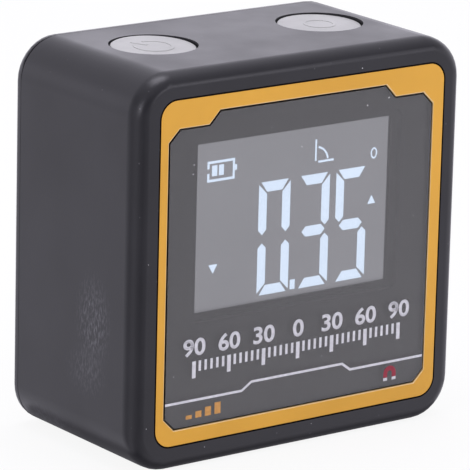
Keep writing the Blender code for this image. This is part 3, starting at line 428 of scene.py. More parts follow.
housing_black = moulded_black(
    "housing_black",
    ((-0.030, -0.0055, 0.0215), (0.004, 0.0055, 0.0090), 0.42, 8),
    ((-0.030, -0.0040, 0.0135), (0.004, 0.0065, 0.0050), 0.22, 20),
    ((-0.029, 0.0080, 0.0022), (0.006, 0.0110, 0.0035), 0.26, 40),
    ((0.029, -0.0020, 0.0080), (0.004, 0.0110, 0.0100), 0.05, 30),
    ((0.010, 0.0, 0.0), (0.026, 0.014, 0.003), 0.05, 0))
# Painted shade: a dull, darker black given to the recess walls and to the window's step.
shadow_black = clouded_finish(
    "shadow_black", 0.7, 900.0, (0.006, 0.005, 0.005), (0.011, 0.009, 0.009), ior=1.4, specular=0.2)
housing = softened_copy("housing_moulding", "front_housing", MOULD_EDGE, housing_black, shadow_black)
shape = bmesh.new()
shape.from_mesh(housing.data)
ring_steps = [
    edge for edge in shape.edges
    if all(front_rounding(vert.co) for vert in edge.verts)
    and abs(edge.verts[0].co.y - edge.verts[1].co.y) > VERY_NEAR]
made = bmesh.ops.subdivide_edges(shape, edges=ring_steps, cuts=1, use_grid_fill=True)
side, low, high, corner = BODY_BOX
for vert in set(verts_in(made["geom_inner"])):
    inset, depth = front_rounding(vert.co)
    away = Vector((FILLET_ACROSS - inset, FILLET_ACROSS - depth))
    goal = away.normalized() * FILLET_ACROSS
    nearest = Vector((
        min(max(vert.co.x, corner - side), side - corner), vert.co.y,
        min(max(vert.co.z, low + corner), high - corner)))
    vert.co += (vert.co - nearest).normalized() * (goal.x - away.x)
    vert.co.y = FRONT_FACE + FILLET_ACROSS - goal.y
shape.to_mesh(housing.data)
shape.free()
for vert in housing.data.vertices:
    depth = vert.co.y - FRONT_FACE
    from_recess = outline_distance(vert.co.x, vert.co.z, *PANEL_BOX) - RECESS_GAP
    if abs(from_recess) < VERY_NEAR and depth < RECESS_DEEP + NEAR:
        vert.co = with_window_corner(vert.co, RECESS_GROWTH)
    elif front_rounding(vert.co):
        up_left = vert.co.z / BODY_BOX[2] * 2 - 1 - vert.co.x / BODY_BOX[0]
        share = min(max(up_left / FILLET_BLEND + 0.5, 0.0), 1.0)
        vert.co.y = FRONT_FACE + depth * (1 + share * (FILLET_DEEP / FILLET_ACROSS - 1))
# The recess walls take the painted shade black.
for face in housing.data.polygons:
    shifted = face.center - WINDOW_SHIFT
    from_panel = outline_distance(shifted.x, shifted.z, *PANEL_BOX[:3], WINDOW_CORNER)
    by_recess = abs(from_panel - RECESS_GAP - RECESS_GROWTH) < 2 * NEAR
    in_recess = by_recess and shifted.y < FRONT_FACE + RECESS_DEEP
    face.material_index = 1 if in_recess and faces_sideways(face) else 0
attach(housing, "gauge_body")

# Base magnets
# Two nickel-plated neodymium discs, pressed into cups in the underside and held with a drop of glue.
nickel = clouded_finish(
    "bright_nickel", 0.20, 400.0, (0.62, 0.60, 0.55), (0.52, 0.50, 0.46), polish=(1200.0, 0.16, 0.34),
    metallic=1.0)


def finish_node(name, material):
    """The CAD node keeps its shape and gets a finish of its own."""
    for slot in nodes[name].material_slots:
        slot.material = material


for magnet in ("magnet_left", "magnet_right"):
    finish_node(magnet, nickel)

# Window panel
# A plate of polished smoked acrylic, let into the front flush with its rim. The frame of coloured film lies
# in a step round its field. The step and its walls are painted shade black, which shows as a thin dark line
# between film and field.
ACRYLIC_TINT = (0.395, 0.395, 0.380)
ACRYLIC_CLEAR = 0.85
ACRYLIC_EDGE = 0.00005
STEP_DEPTH = 0.0002
STEP_GAP = 0.00018

acrylic, acrylic_shader = new_finish("smoked_acrylic", 0.03, ior=1.49)
acrylic_shader.inputs["Base Color"].default_value = (*ACRYLIC_TINT, 1)
acrylic_shader.inputs["Transmission Weight"].default_value = ACRYLIC_CLEAR
uneven_polish(acrylic, acrylic_shader, object_place(acrylic), 120.0, 0.02, 0.05)
panel = softened_copy("window_panel_acrylic", "window_panel", ACRYLIC_EDGE, acrylic, shadow_black)
wall_sides = {}
# The step floor and its walls take the painted shade black.
for face in panel.data.polygons:
    on_rim = all(on_window_rim(panel.data.vertices[i].co) for i in face.vertices)
    is_wall = faces_sideways(face) and not on_rim
    is_step = face.normal.y < -0.9 and face.center.y > FRONT_FACE + STEP_DEPTH
    face.material_index = 1 if is_wall or is_step else 0
    if is_wall:
        for i in face.vertices:
            wall_sides.setdefault(i, []).append(face.normal.copy())
for vert in panel.data.vertices:
    if on_window_rim(vert.co):
        vert.co = with_window_corner(vert.co)
    elif vert.index in wall_sides:
        first, last = wall_sides[vert.index][0], wall_sides[vert.index][-1]
        vert.co -= (first + last) * STEP_GAP / (1 + first.dot(last))
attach(panel, "gauge_body")

# Trim film
# Satin orange film, cut out of one sheet. Its rounded inner edge is painted pale as a highlight, and its
# outer side is painted dark brown as shade. Black tape under its rim holds it, and its black in the joint
# round the window is painted shade for the gap.
MM = 0.001
TRIM_GROWTH = 0.00014
TRIM_EDGE = 0.00016
TAPE_OUTER = 0.00036
TAPE_INNER = -0.00045
TAPE_FRONT, TAPE_BACK = -0.015745, -0.015660
CORNER_STEPS = 16


def rounded_outline(side, low, high, corner, offset):
    """Points round a rectangle with round corners, grown by the offset."""
    side, low, high, corner = side + offset, low - offset, high + offset, corner + offset
    points = []
    for centre_x, centre_z, start in (
            (side - corner, high - corner, 0), (corner - side, high - corner, 90),
            (corner - side, low + corner, 180), (side - corner, low + corner, 270)):
        for i in range(CORNER_STEPS + 1):
            turn = radians(start + 90 * i / CORNER_STEPS)
            points.append((centre_x + corner * cos(turn), centre_z + corner * sin(turn)))
    return points


def flat_ring(name, outer, inner, front, back, finish):
    """A flat ring between two outlines with the same number of points, in metres along x and z."""
    count = len(outer)
    points = [(x, depth, z) for outline in (outer, inner) for depth in (front, back) for x, z in outline]
    faces = []
    for i in range(count):
        j = (i + 1) % count
        for a, b in ((0, 2), (2, 3), (3, 1), (1, 0)):
            faces.append((a * count + i, a * count + j, b * count + j, b * count + i))
    mesh = bpy.data.meshes.new(name)
    mesh.from_pydata(points, [], faces)
    shape = bmesh.new()
    shape.from_mesh(mesh)
    bmesh.ops.recalc_face_normals(shape, faces=shape.faces[:])
    shape.to_mesh(mesh)
    shape.free()
    return new_mesh_object(name, mesh, finish)


# Painted shade: the tape's dead black stands in for the shade in the joint round the window.
tape_gap_shade_black = clouded_finish(
    "black_tape_gap_shade", 0.8, 900.0, (0.004, 0.004, 0.005), (0.009, 0.008, 0.009), ior=1.4, specular=0.15)
tape_box = (*PANEL_BOX[:3], WINDOW_CORNER)
tape = flat_ring(
    "window_tape", rounded_outline(*tape_box, TAPE_OUTER), rounded_outline(*tape_box, TAPE_INNER),
    TAPE_FRONT, TAPE_BACK, tape_gap_shade_black)
tape.data.transform(Matrix.Translation(WINDOW_SHIFT))
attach(tape, "gauge_body")

orange = clouded_finish(
    "satin_orange", 0.42, 60.0, (0.80, 0.412, 0.032), (0.73, 0.372, 0.027), grain=(3000.0, 0.000006),
    ior=1.48)
# Painted highlight: the pale colour of the film's rounded inner cut edge.
cut_edge_painted_highlight = clouded_finish(
    "pale_cut_edge", 0.5, 300.0, (0.92, 0.66, 0.32), (0.86, 0.58, 0.24), ior=1.48)
# Painted shade: the dark brown of the film's outer side.
film_side_painted_shade = clouded_finish(
    "film_side_painted_shade", 0.7, 300.0, (0.050, 0.016, 0.006), (0.035, 0.012, 0.005), ior=1.4, specular=0.2)
trim = softened_copy("trim_film", "trim_frame", TRIM_EDGE, orange, cut_edge_painted_highlight, film_side_painted_shade, edge_finish=1)
trim.modifiers["mould_edge"].limit_method = "WEIGHT"
cut = trim.data.attributes.new("bevel_weight_edge", "FLOAT", "EDGE")
film_face = min(vert.co.y for vert in trim.data.vertices)
# The inner cut edges are rounded and take the pale painted highlight.
for edge in trim.data.edges:
    ends = [trim.data.vertices[i].co for i in edge.vertices]
    is_cut = all(not on_window_rim(end) and end.y < film_face + NEAR for end in ends)
    cut.data[edge.index].value = 1.0 if is_cut else 0.0
# The film's outer side takes the painted shade brown.
for face in trim.data.polygons:
    inset = -outline_distance(face.center.x, face.center.z, *PANEL_BOX)
    if faces_sideways(face) and inset < 6 * NEAR:
        face.material_index = 2
for vert in trim.data.vertices:
    if on_window_rim(vert.co):
        vert.co = with_window_corner(vert.co, TRIM_GROWTH)
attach(trim, "gauge_body")

# Printing on the window
# Screen-printed ink on the acrylic: a stepped rule, a scale of degrees over its marks, four level bars and a
# magnet sign. Sizes are in millimetres along x and z on the window's face.
INK_THICKNESS = 0.000015
INK_FADE = 0.84
RULE_WIDTH = 0.38
RULE_POINTS = [
    (-24.3, 10.4), (-10.3, 10.4), (-8.54, 11.54), (8.54, 11.54), (10.1, 10.4), (24.1, 10.4)]
SCALE_PITCH = 6.4
SCALE_FIGURES = ("90", "60", "30", "0", "30", "60", "90")
FIGURE_LOW = 17.2
FIGURE_HEIGHT = 2.7
FIGURE_STRETCH = 1.15
MARK_TOP = 16.4
MARK_LONG, MARK_WIDE = 2.6, 0.66
MARK_SHORT, MARK_NARROW = 1.6, 0.44
MARKS_PER_FIGURE = 6


def ink(name, colour):
    """A dull printing ink of slightly uneven tone."""
    return clouded_finish(name, 0.55, 1500.0, colour, [part * INK_FADE for part in colour], ior=1.45)


def flat_shapes(name, outlines, back, thickness, finish):
    """Thin flat shapes that face -Y. Each outline is a ring of (x, z) points in millimetres."""
    shape = bmesh.new()
    for outline in outlines:
        ring = [shape.verts.new((x * MM, back - thickness, z * MM)) for x, z in outline]
        made = bmesh.ops.extrude_face_region(shape, geom=[shape.faces.new(ring)])
        for vert in verts_in(made["geom"]):
            vert.co.y = back
    bmesh.ops.recalc_face_normals(shape, faces=shape.faces[:])
    return new_mesh_object(name, mesh_of(shape, name), finish)


def bar(low_x, low_z, high_x, high_z):
    return [(low_x, low_z), (high_x, low_z), (high_x, high_z), (low_x, high_z)]


def stroke(points, width):
    """The outline of a line of one width through the points, with mitred corners."""
    left, right = [], []
    for i, point in enumerate(points):
        here = Vector(point)
        before = (here - Vector(points[i - 1])).normalized() if i else None
        after = (Vector(points[i + 1]) - here).normalized() if i < len(points) - 1 else None
        before = before or after
        after = after or before
        side = Vector((-(before + after).y, (before + after).x)).normalized()
        reach = width / 2 / max(side.dot(Vector((-before.y, before.x))), 0.3)
        left.append(tuple(here + side * reach))
        right.append(tuple(here - side * reach))
    return left + right[::-1]


def arc(centre, radius, start, end, steps):
    """Points on an arc, with the angles in degrees from +X towards +Z."""
    turn = [radians(start + (end - start) * i / steps) for i in range(steps + 1)]
    return [(centre[0] + radius * cos(a), centre[1] + radius * sin(a)) for a in turn]


light_ink = ink("light_ink", (0.74, 0.74, 0.76))
orange_ink = ink("orange_ink", (0.66, 0.33, 0.085))
red_ink = ink("red_ink", (0.33, 0.022, 0.045))

rule_marks = []
for step in range(-3 * MARKS_PER_FIGURE, 3 * MARKS_PER_FIGURE + 1):
    tall = step % MARKS_PER_FIGURE == 0
    width, length = (MARK_WIDE, MARK_LONG) if tall else (MARK_NARROW, MARK_SHORT)
    middle = step * SCALE_PITCH / MARKS_PER_FIGURE
    rule_marks.append(bar(middle - width / 2, MARK_TOP - length, middle + width / 2, MARK_TOP))
rule = flat_shapes(
    "rule_print", [stroke(RULE_POINTS, RULE_WIDTH)] + rule_marks, FRONT_FACE, INK_THICKNESS, light_ink)
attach(rule, "gauge_body")

figures_shape = bmesh.new()
for place, figure in enumerate(SCALE_FIGURES):
    text = bpy.data.curves.new("figure", "FONT")
    text.body = figure
    text.size = 1.0
    text.offset = 0.024
    text.resolution_u = 6
    writer = bpy.data.objects.new("figure", text)
    bpy.context.scene.collection.objects.link(writer)
    flat = bpy.data.meshes.new_from_object(writer.evaluated_get(bpy.context.evaluated_depsgraph_get()))
    bpy.data.objects.remove(writer, do_unlink=True)
    low_x, high_x = min(v.co.x for v in flat.vertices), max(v.co.x for v in flat.vertices)
    low_y, high_y = min(v.co.y for v in flat.vertices), max(v.co.y for v in flat.vertices)
    size = FIGURE_HEIGHT * MM / (high_y - low_y)
    middle = (place - len(SCALE_FIGURES) // 2) * SCALE_PITCH * MM
    for vert in flat.vertices:
        vert.co = Vector((
            middle + (vert.co.x - (low_x + high_x) / 2) * size * FIGURE_STRETCH, FRONT_FACE - INK_THICKNESS,
            FIGURE_LOW * MM + (vert.co.y - low_y) * size))
    figures_shape.from_mesh(flat)
bmesh.ops.remove_doubles(figures_shape, verts=figures_shape.verts[:], dist=0.0000005)
raised = bmesh.ops.extrude_face_region(figures_shape, geom=figures_shape.faces[:])
for vert in verts_in(raised["geom"]):
    vert.co.y = FRONT_FACE
bmesh.ops.recalc_face_normals(figures_shape, faces=figures_shape.faces[:])
figures = new_mesh_object("scale_figures_print", mesh_of(figures_shape, "scale_figures_print"), light_ink)
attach(figures, "gauge_body")

level_bars = [bar(-20.5 + i * 1.75, 7.6, -19.4 + i * 1.75, 8.2 + i * 0.4) for i in range(4)]
levels = flat_shapes("level_bars_print", level_bars, FRONT_FACE, INK_THICKNESS, orange_ink)
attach(levels, "gauge_body")

MAGNET_SIGN_MIDDLE = (17.85, 8.55)
magnet_body = arc(MAGNET_SIGN_MIDDLE, 1.2, 0, 180, 14) + [(16.65, 7.95), (17.4, 7.95)]
magnet_body += arc(MAGNET_SIGN_MIDDLE, 0.45, 180, 0, 10) + [(18.3, 7.95), (19.05, 7.95)]
magnet_sign = flat_shapes("magnet_sign_print", [magnet_body], FRONT_FACE, INK_THICKNESS, red_ink)
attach(magnet_sign, "gauge_body")
magnet_tips = flat_shapes(
    "magnet_tips_print", [bar(16.65, 7.45, 17.4, 7.9), bar(18.3, 7.45, 19.05, 7.9)], FRONT_FACE,
    INK_THICKNESS, light_ink)
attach(magnet_tips, "gauge_body")

# Dust on the window
# A few specks of lint that lie on the front. Each is a flat fleck, under a third of a millimetre across.
DUST_PLACES = [
    (11.81, 51.34, 0.14), (15.91, 52.04, 0.17), (10.62, 57.14, 0.13), (-20.01, 46.33, 0.11),
    (-20.1, 44.95, 0.12), (-16.92, 2.77, 0.11), (-0.36, 46.54, 0.10), (21.4, 33.0, 0.09), (-6.0, 50.2, 0.08),
    (19.9, 12.4, 0.08), (3.0, 3.0, 0.08), (-22.9, 14.6, 0.08), (23.0, 46.2, 0.07), (4.6, 13.4, 0.07),
    (-27.8, 32.4, 0.08), (-27.6, 7.4, 0.09)]
FLECK_SIDES = 9

lint = clouded_finish("pale_lint", 0.9, 4000.0, (0.50, 0.50, 0.50), (0.34, 0.34, 0.35))
flecks = []
for count, (x, z, radius) in enumerate(DUST_PLACES):
    flecks.append([
        (x + radius * (0.8 + 0.2 * sin(count * 2.3 + i)) * cos(2 * pi * i / FLECK_SIDES),
         z + radius * (0.8 + 0.2 * cos(count * 1.7 + i)) * sin(2 * pi * i / FLECK_SIDES))
        for i in range(FLECK_SIDES)])
dust = flat_shapes("window_dust", flecks, FRONT_FACE, INK_THICKNESS, lint)
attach(dust, "gauge_body")

# Display frame
# A matt black ABS frame with a lip, which holds the display glass and light guide against the front wall.
frame_black = clouded_finish(
    "matt_frame_black", 0.62, 200.0, (0.016, 0.016, 0.017), (0.024, 0.024, 0.026), grain=(2400.0, 0.00002))
finish_node("display_frame", frame_black)

# Display glass
# Two thin glasses with the liquid crystal between them and a dark film over both. The light guide behind
# makes the whole field glow faintly, softer along its lower edge.
GLASS_EDGE = 0.00006
FIELD_LEFT, FIELD_RIGHT = -17.85, 17.75
FIELD_LOW, FIELD_HIGH = 22.3, 48.65
FIELD_SOFT = 1.3
FIELD_COLOUR = (0.77, 0.77, 0.88)
FIELD_GLOW = 0.79
FIELD_THICKNESS = 0.00002


def glowing_finish(name, base, light):
    """A finish that gives light of one colour, and its shader, which still needs a strength."""
    material, shader = new_finish(name, 0.35)
    shader.inputs["Base Color"].default_value = (*base, 1)
    shader.inputs["Emission Color"].default_value = (*light, 1)
    return material, shader


glass_film = clouded_finish("display_film", 0.12, 90.0, (0.030, 0.030, 0.034), (0.042, 0.042, 0.047))
glass = softened_copy("display_glass", "lcd_glass", GLASS_EDGE, glass_film)
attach(glass, "gauge_body")

glass_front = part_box("lcd_glass")[0].y
lit_field, field_shader = glowing_finish("lit_field", (0.05, 0.05, 0.055), FIELD_COLOUR)
field_place = object_place(lit_field)
field_height = add_node(lit_field, "ShaderNodeSeparateXYZ", {0: field_place}).outputs["Z"]
field_edge = ranged(
    lit_field, field_height, FIELD_LOW * MM, (FIELD_LOW + FIELD_SOFT) * MM, 0.10, 1.0, smooth=True)
field_even = ranged(
    lit_field, noise(lit_field, field_place, 45.0, 2.0), *NOISE_RANGE, 0.95 * FIELD_GLOW, 1.05 * FIELD_GLOW)
link(lit_field, calculate(lit_field, "MULTIPLY", field_edge, field_even), field_shader, "Emission Strength")
field = flat_shapes(
    "display_field", [bar(FIELD_LEFT, FIELD_LOW, FIELD_RIGHT, FIELD_HIGH)], glass_front, FIELD_THICKNESS,
    lit_field)
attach(field, "gauge_body")

# Display segments
# The driven segments: three figures of seven bars with a point, and the battery, angle, degree and arrow
# signs. Each bar ends in a mitre or a point, a quarter of a millimetre from the next.
SEGMENT_COLOUR = (0.66, 0.785, 1.0)
SEGMENT_GLOW = 3.4
SEGMENT_THICKNESS = 0.00001
FIGURE_WIDTH = 5.85
BAR_WIDTH = 1.5
FIGURE_BOTTOM, FIGURE_TOP = 23.9, 41.3
FIGURE_PLACES = ((-6.33, "abcdef"), (1.05, "abgcd"), (8.13, "afgcd"))
BATTERY_LINE = 0.38
DEGREE_MIDDLE = (15.15, 43.1)
DEGREE_SIDES = 28


def figure_bars(left, lit):
    """The lit bars of one figure. Its left edge is at left."""
    right = left + FIGURE_WIDTH
    inner_left, inner_right = left + BAR_WIDTH, right - BAR_WIDTH
    middle_left, middle_right = left + BAR_WIDTH / 2, right - BAR_WIDTH / 2
    top, bottom = FIGURE_TOP, FIGURE_BOTTOM
    bars = {
        "a": [(left + 0.42, top), (right - 0.42, top), (inner_right - 0.02, top - 1.55),
              (inner_left + 0.02, top - 1.55)],
        "d": [(left + 0.42, bottom), (right - 0.42, bottom), (inner_right - 0.02, bottom + 1.5),
              (inner_left + 0.02, bottom + 1.5)],
        "f": [(left, 40.95), (left, 33.95), (middle_left, 33.2), (inner_left, 34.0), (inner_left, 39.45)],
        "b": [(right, 40.95), (right, 33.95), (middle_right, 33.2), (inner_right, 34.0),
              (inner_right, 39.45)],
        "e": [(left, 24.25), (left, 31.2), (middle_left, 31.9), (inner_left, 31.15), (inner_left, 25.7)],
        "c": [(right, 24.25), (right, 31.2), (middle_right, 31.9), (inner_right, 31.15), (inner_right, 25.7)],
        "g": [(left + 0.75, 32.6), (left + 1.5, 33.4), (right - 1.5, 33.4), (right - 0.75, 32.6),
              (right - 1.5, 31.8), (left + 1.5, 31.8)]}
    return [bars[name] for name in lit]


def degree_outline(wide, high):
    turns = [2 * pi * i / DEGREE_SIDES for i in range(DEGREE_SIDES + 1)]
    return [(DEGREE_MIDDLE[0] + wide * cos(turn), DEGREE_MIDDLE[1] + high * sin(turn)) for turn in turns]


def between(outer, inner):
    """Four-sided outlines that fill the strip between two lines of points."""
    return [[outer[i], outer[i + 1], inner[i + 1], inner[i]] for i in range(len(outer) - 1)]


segment_shapes = [bar(-0.13, 24.0, 0.8, 25.5)]
for left, lit in FIGURE_PLACES:
    segment_shapes += figure_bars(left, lit)
segment_shapes += [
    bar(-15.9, 45.75 - BATTERY_LINE, -10.9, 45.75), bar(-15.9, 42.6, -10.9, 42.6 + BATTERY_LINE),
    bar(-10.9 - BATTERY_LINE, 42.6 + BATTERY_LINE, -10.9, 45.75 - BATTERY_LINE),
    bar(-15.9, 42.6 + BATTERY_LINE, -15.9 + BATTERY_LINE, 43.9),
    bar(-15.9, 44.6, -15.9 + BATTERY_LINE, 45.75 - BATTERY_LINE),
    bar(-10.9, 43.9, -10.5, 44.75), bar(-15.05, 43.45, -14.1, 45.05), bar(-13.8, 43.45, -12.9, 45.05)]
segment_shapes += [
    bar(3.95, 43.3, 4.25, 46.6), bar(4.6, 42.95, 7.5, 43.27),
    arc((4.1, 43.1), 2.45, 8, 78, 12) + arc((4.1, 43.1), 2.15, 78, 8, 12)]
segment_shapes += between(degree_outline(0.62, 0.88), degree_outline(0.38, 0.62))
segment_shapes += [
    [(14.2, 35.25), (15.7, 35.25), (14.95, 36.6)], [(-15.3, 29.95), (-13.7, 29.95), (-14.5, 28.55)]]
lit_segment, segment_shader = glowing_finish("lit_segment", (0.2, 0.21, 0.23), SEGMENT_COLOUR)
segment_even = ranged(
    lit_segment, noise(lit_segment, object_place(lit_segment), 60.0, 2.0), *NOISE_RANGE,
    0.95 * SEGMENT_GLOW, 1.03 * SEGMENT_GLOW)
link(lit_segment, segment_even, segment_shader, "Emission Strength")
segments = flat_shapes(
    "display_segments", segment_shapes, glass_front - FIELD_THICKNESS, SEGMENT_THICKNESS, lit_segment)
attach(segments, "gauge_body")

# Light guide
# A slab of white acrylic behind the glass, lit from its edge.
guide_white = clouded_finish(
    "light_guide_white", 0.3, 150.0, (0.80, 0.82, 0.86), (0.72, 0.75, 0.80), ior=1.49)
guide_shader = guide_white.node_tree.nodes["Principled BSDF"]
guide_shader.inputs["Emission Color"].default_value = (0.80, 0.86, 1.0, 1)
guide_shader.inputs["Emission Strength"].default_value = 0.3
finish_node("backlight", guide_white)

# Contact strip
# A silicone strip with fine conducting bands, pressed between the glass and the board.
strip_rubber, strip_shader = new_finish("banded_silicone", 0.6, ior=1.41)
strip_bands = add_node(strip_rubber, "ShaderNodeTexWave", {
    "Vector": object_place(strip_rubber), "Scale": 220.0}, wave_type="BANDS", bands_direction="X")
strip_colour = mixed(strip_rubber, strip_bands.outputs[0], (0.03, 0.03, 0.03), (0.50, 0.42, 0.42))
link(strip_rubber, strip_colour, strip_shader, "Base Color")
finish_node("elastomer_strip", strip_rubber)

# Main board and the parts soldered to it
# Glass laminate under green resist, with the controller, tilt sensor, clock crystal, cable header and radio
# board. Tracks show as lighter lines under the resist.
RESIST_GREEN = (0.012, 0.105, 0.040)
TRACK_GREEN = (0.030, 0.190, 0.075)
TRACK_PITCH = 0.0013
SOLDER_SPECKS = (500.0, 0.16, 0.25, (0.62, 0.60, 0.55))


def board_green(name):
    """Green resist over copper tracks: long and short runs on a fine grid."""
    material, shader = new_finish(name, 0.32, ior=1.52)
    place = object_place(material)
    turned_place = add_node(material, "ShaderNodeMapping", {
        "Vector": place, "Rotation": (radians(90), 0.0, 0.0)}).outputs[0]
    tracks = add_node(material, "ShaderNodeTexBrick", {
        "Vector": turned_place, "Color1": (0, 0, 0, 1), "Color2": (0, 0, 0, 1), "Mortar": (1, 1, 1, 1),
        "Scale": 1.0, "Mortar Size": TRACK_PITCH * 0.12, "Brick Width": TRACK_PITCH * 7,
        "Row Height": TRACK_PITCH}, offset=0.37)
    colour = mixed(material, tracks.outputs["Color"], RESIST_GREEN, TRACK_GREEN)
    link(material, with_dust(material, place, colour, *SOLDER_SPECKS), shader, "Base Color")
    uneven_polish(material, shader, place, 300.0, 0.26, 0.40)
    return material


def moulded_chip(name, first, second, roughness):
    return clouded_finish(name, roughness, 900.0, first, second, grain=(6000.0, 0.00001))


chip_black = moulded_chip("chip_epoxy", (0.017, 0.017, 0.018), (0.026, 0.026, 0.027), 0.55)
header_black = moulded_chip("header_nylon", (0.012, 0.012, 0.012), (0.020, 0.020, 0.021), 0.42)
tinned = clouded_finish(
    "tinned_steel", 0.3, 700.0, (0.64, 0.64, 0.62), (0.50, 0.50, 0.49), polish=(900.0, 0.22, 0.42),
    metallic=1.0)
finish_node("main_board", board_green("main_resist"))
finish_node("radio_module", board_green("radio_resist"))
finish_node("controller_chip", chip_black)
finish_node("angle_sensor", chip_black)
finish_node("crystal", tinned)
finish_node("board_header", header_black)

# Legs and small parts on the main board
# Gull-wing legs in tin round the two chips, and chip resistors and capacitors in short rows beside them.
# Sizes are in millimetres.
BOARD_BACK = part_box("main_board")[1].y
LEG_PITCH = 0.8
LEG_REACH = 0.7
LEG_HALF_WIDTH = 0.15
LEG_HEIGHT = 0.25
SMALL_PARTS = [
    (-17.5, 24.0), (-17.5, 26.0), (-17.5, 28.0), (-5.0, 27.5), (-3.0, 27.5), (-1.0, 27.5), (1.0, 27.5),
    (13.5, 39.0), (13.5, 41.0), (13.5, 43.0), (-17.0, 38.0), (-15.0, 38.0), (-13.0, 38.0), (1.5, 31.5)]
SMALL_EDGE = 0.00004


def small_blocks(name, boxes, material):
    """Small blocks with slightly rounded edges. Each box is its low and high corner."""
    shape = bmesh.new()
    for low, high in boxes:
        made = bmesh.ops.create_cube(shape, size=1.0)
        for vert in made["verts"]:
            for axis in range(3):
                centre, span = (low[axis] + high[axis]) / 2, high[axis] - low[axis]
                vert.co[axis] = (centre + vert.co[axis] * span) * MM
    bmesh.ops.bevel(
        shape, geom=shape.edges[:], offset=SMALL_EDGE, segments=2, affect="EDGES", profile=0.7)
    piece = new_mesh_object(name, mesh_of(shape, name), material)
    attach(piece, "gauge_body")


back = BOARD_BACK / MM
leg_boxes = []
for chip in ("controller_chip", "angle_sensor"):
    low, high = (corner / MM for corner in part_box(chip))
    count = int((high.z - low.z - 0.8) / LEG_PITCH)
    for i in range(count + 1):
        z = (low.z + high.z) / 2 + (i - count / 2) * LEG_PITCH
        for edge_x, reach in ((low.x, -LEG_REACH), (high.x, LEG_REACH)):
            side_low, side_high = sorted((edge_x - reach * 0.2, edge_x + reach))
            leg_boxes.append((
                (side_low, back, z - LEG_HALF_WIDTH), (side_high, back + LEG_HEIGHT, z + LEG_HALF_WIDTH)))
small_blocks("chip_legs", leg_boxes, tinned)
body_boxes, end_boxes = [], []
for x, z in SMALL_PARTS:
    body_boxes.append(((x - 0.5, back, z - 0.4), (x + 0.5, back + 0.45, z + 0.4)))
    for end in (-1, 1):
        end_low, end_high = sorted((x + end * 0.5, x + end * 0.8))
        end_boxes.append(((end_low, back, z - 0.42), (end_high, back + 0.47, z + 0.42)))
ceramic = moulded_chip("capacitor_ceramic", (0.20, 0.13, 0.08), (0.27, 0.18, 0.11), 0.5)
small_blocks("board_capacitors", body_boxes, ceramic)
small_blocks("capacitor_ends", end_boxes, tinned)

# Key board, its switches and their plungers
# A narrow board across the top carries one push switch under each button. Each switch has a black base and a
# light plunger that moves with its button.
plunger_grey = moulded_chip("plunger_nylon", (0.50, 0.50, 0.52), (0.42, 0.42, 0.44), 0.45)
finish_node("key_board", board_green("key_resist"))
for key in ("power", "zero"):
    finish_node(f"{key}_switch", header_black)
    finish_node(f"{key}_plunger", plunger_grey)

# Buttons
# Two hollow caps of light grey ABS, which sit with a little play in their holes and so lean by about two
# degrees. A flange keeps each under the top wall, and a stem reaches its switch. A faint sign stands up from
# each top.
CAP_RADIUS = 0.0065
CAP_SIDES = 96
CAP_EDGE = 0.00028
CAP_CROWN = 0.00004
CAP_WALL = 0.0011
CAP_CEILING = -0.0013
FLANGE_EDGE = 0.0001
FLANGE_THICKNESS = 0.0010
SIGN_HEIGHT = 0.00007
SIGN_SUNK = 0.00002
SIGN_STEPS = 56
SHARP_ANGLE = 40
CAP_GREY = (0.445, 0.447, 0.428)
CAP_GREY_SHADE = (0.400, 0.402, 0.386)
CAP_DUST = (700.0, 0.05, 0.3, (0.30, 0.30, 0.31))


def turned_mesh(name, profile, sides):
    """A mesh turned about the Z axis from (radius, height) points, from the top down the outside."""
    shape = bmesh.new()
    rings = []
    for radius, height in profile:
        turns = [2 * pi * i / sides for i in range(sides)] if radius else [0.0]
        rings.append([shape.verts.new((radius * cos(turn), radius * sin(turn), height)) for turn in turns])
    for upper, lower in zip(rings, rings[1:]):
        for i in range(sides):
            j = (i + 1) % sides
            if len(upper) == 1:
                shape.faces.new((upper[0], lower[i], lower[j]))
            elif len(lower) == 1:
                shape.faces.new((upper[i], lower[0], upper[j]))
            else:
                shape.faces.new((upper[i], lower[i], lower[j], upper[j]))
    bmesh.ops.recalc_face_normals(shape, faces=shape.faces[:])
    mesh = mesh_of(shape, name)
    mesh.shade_smooth()
    mesh.set_sharp_from_angle(angle=radians(SHARP_ANGLE))
    return mesh


cap_grey, cap_shader = new_finish("cap_grey", 0.42, ior=1.46)
cap_place = object_place(cap_grey)
cap_colour = cloudy(cap_grey, cap_place, 260.0, CAP_GREY, CAP_GREY_SHADE, 4.0)
link(cap_grey, with_dust(cap_grey, cap_place, cap_colour, *CAP_DUST), cap_shader, "Base Color")
grained(cap_grey, cap_shader, cap_place, 2200.0, 0.000014)

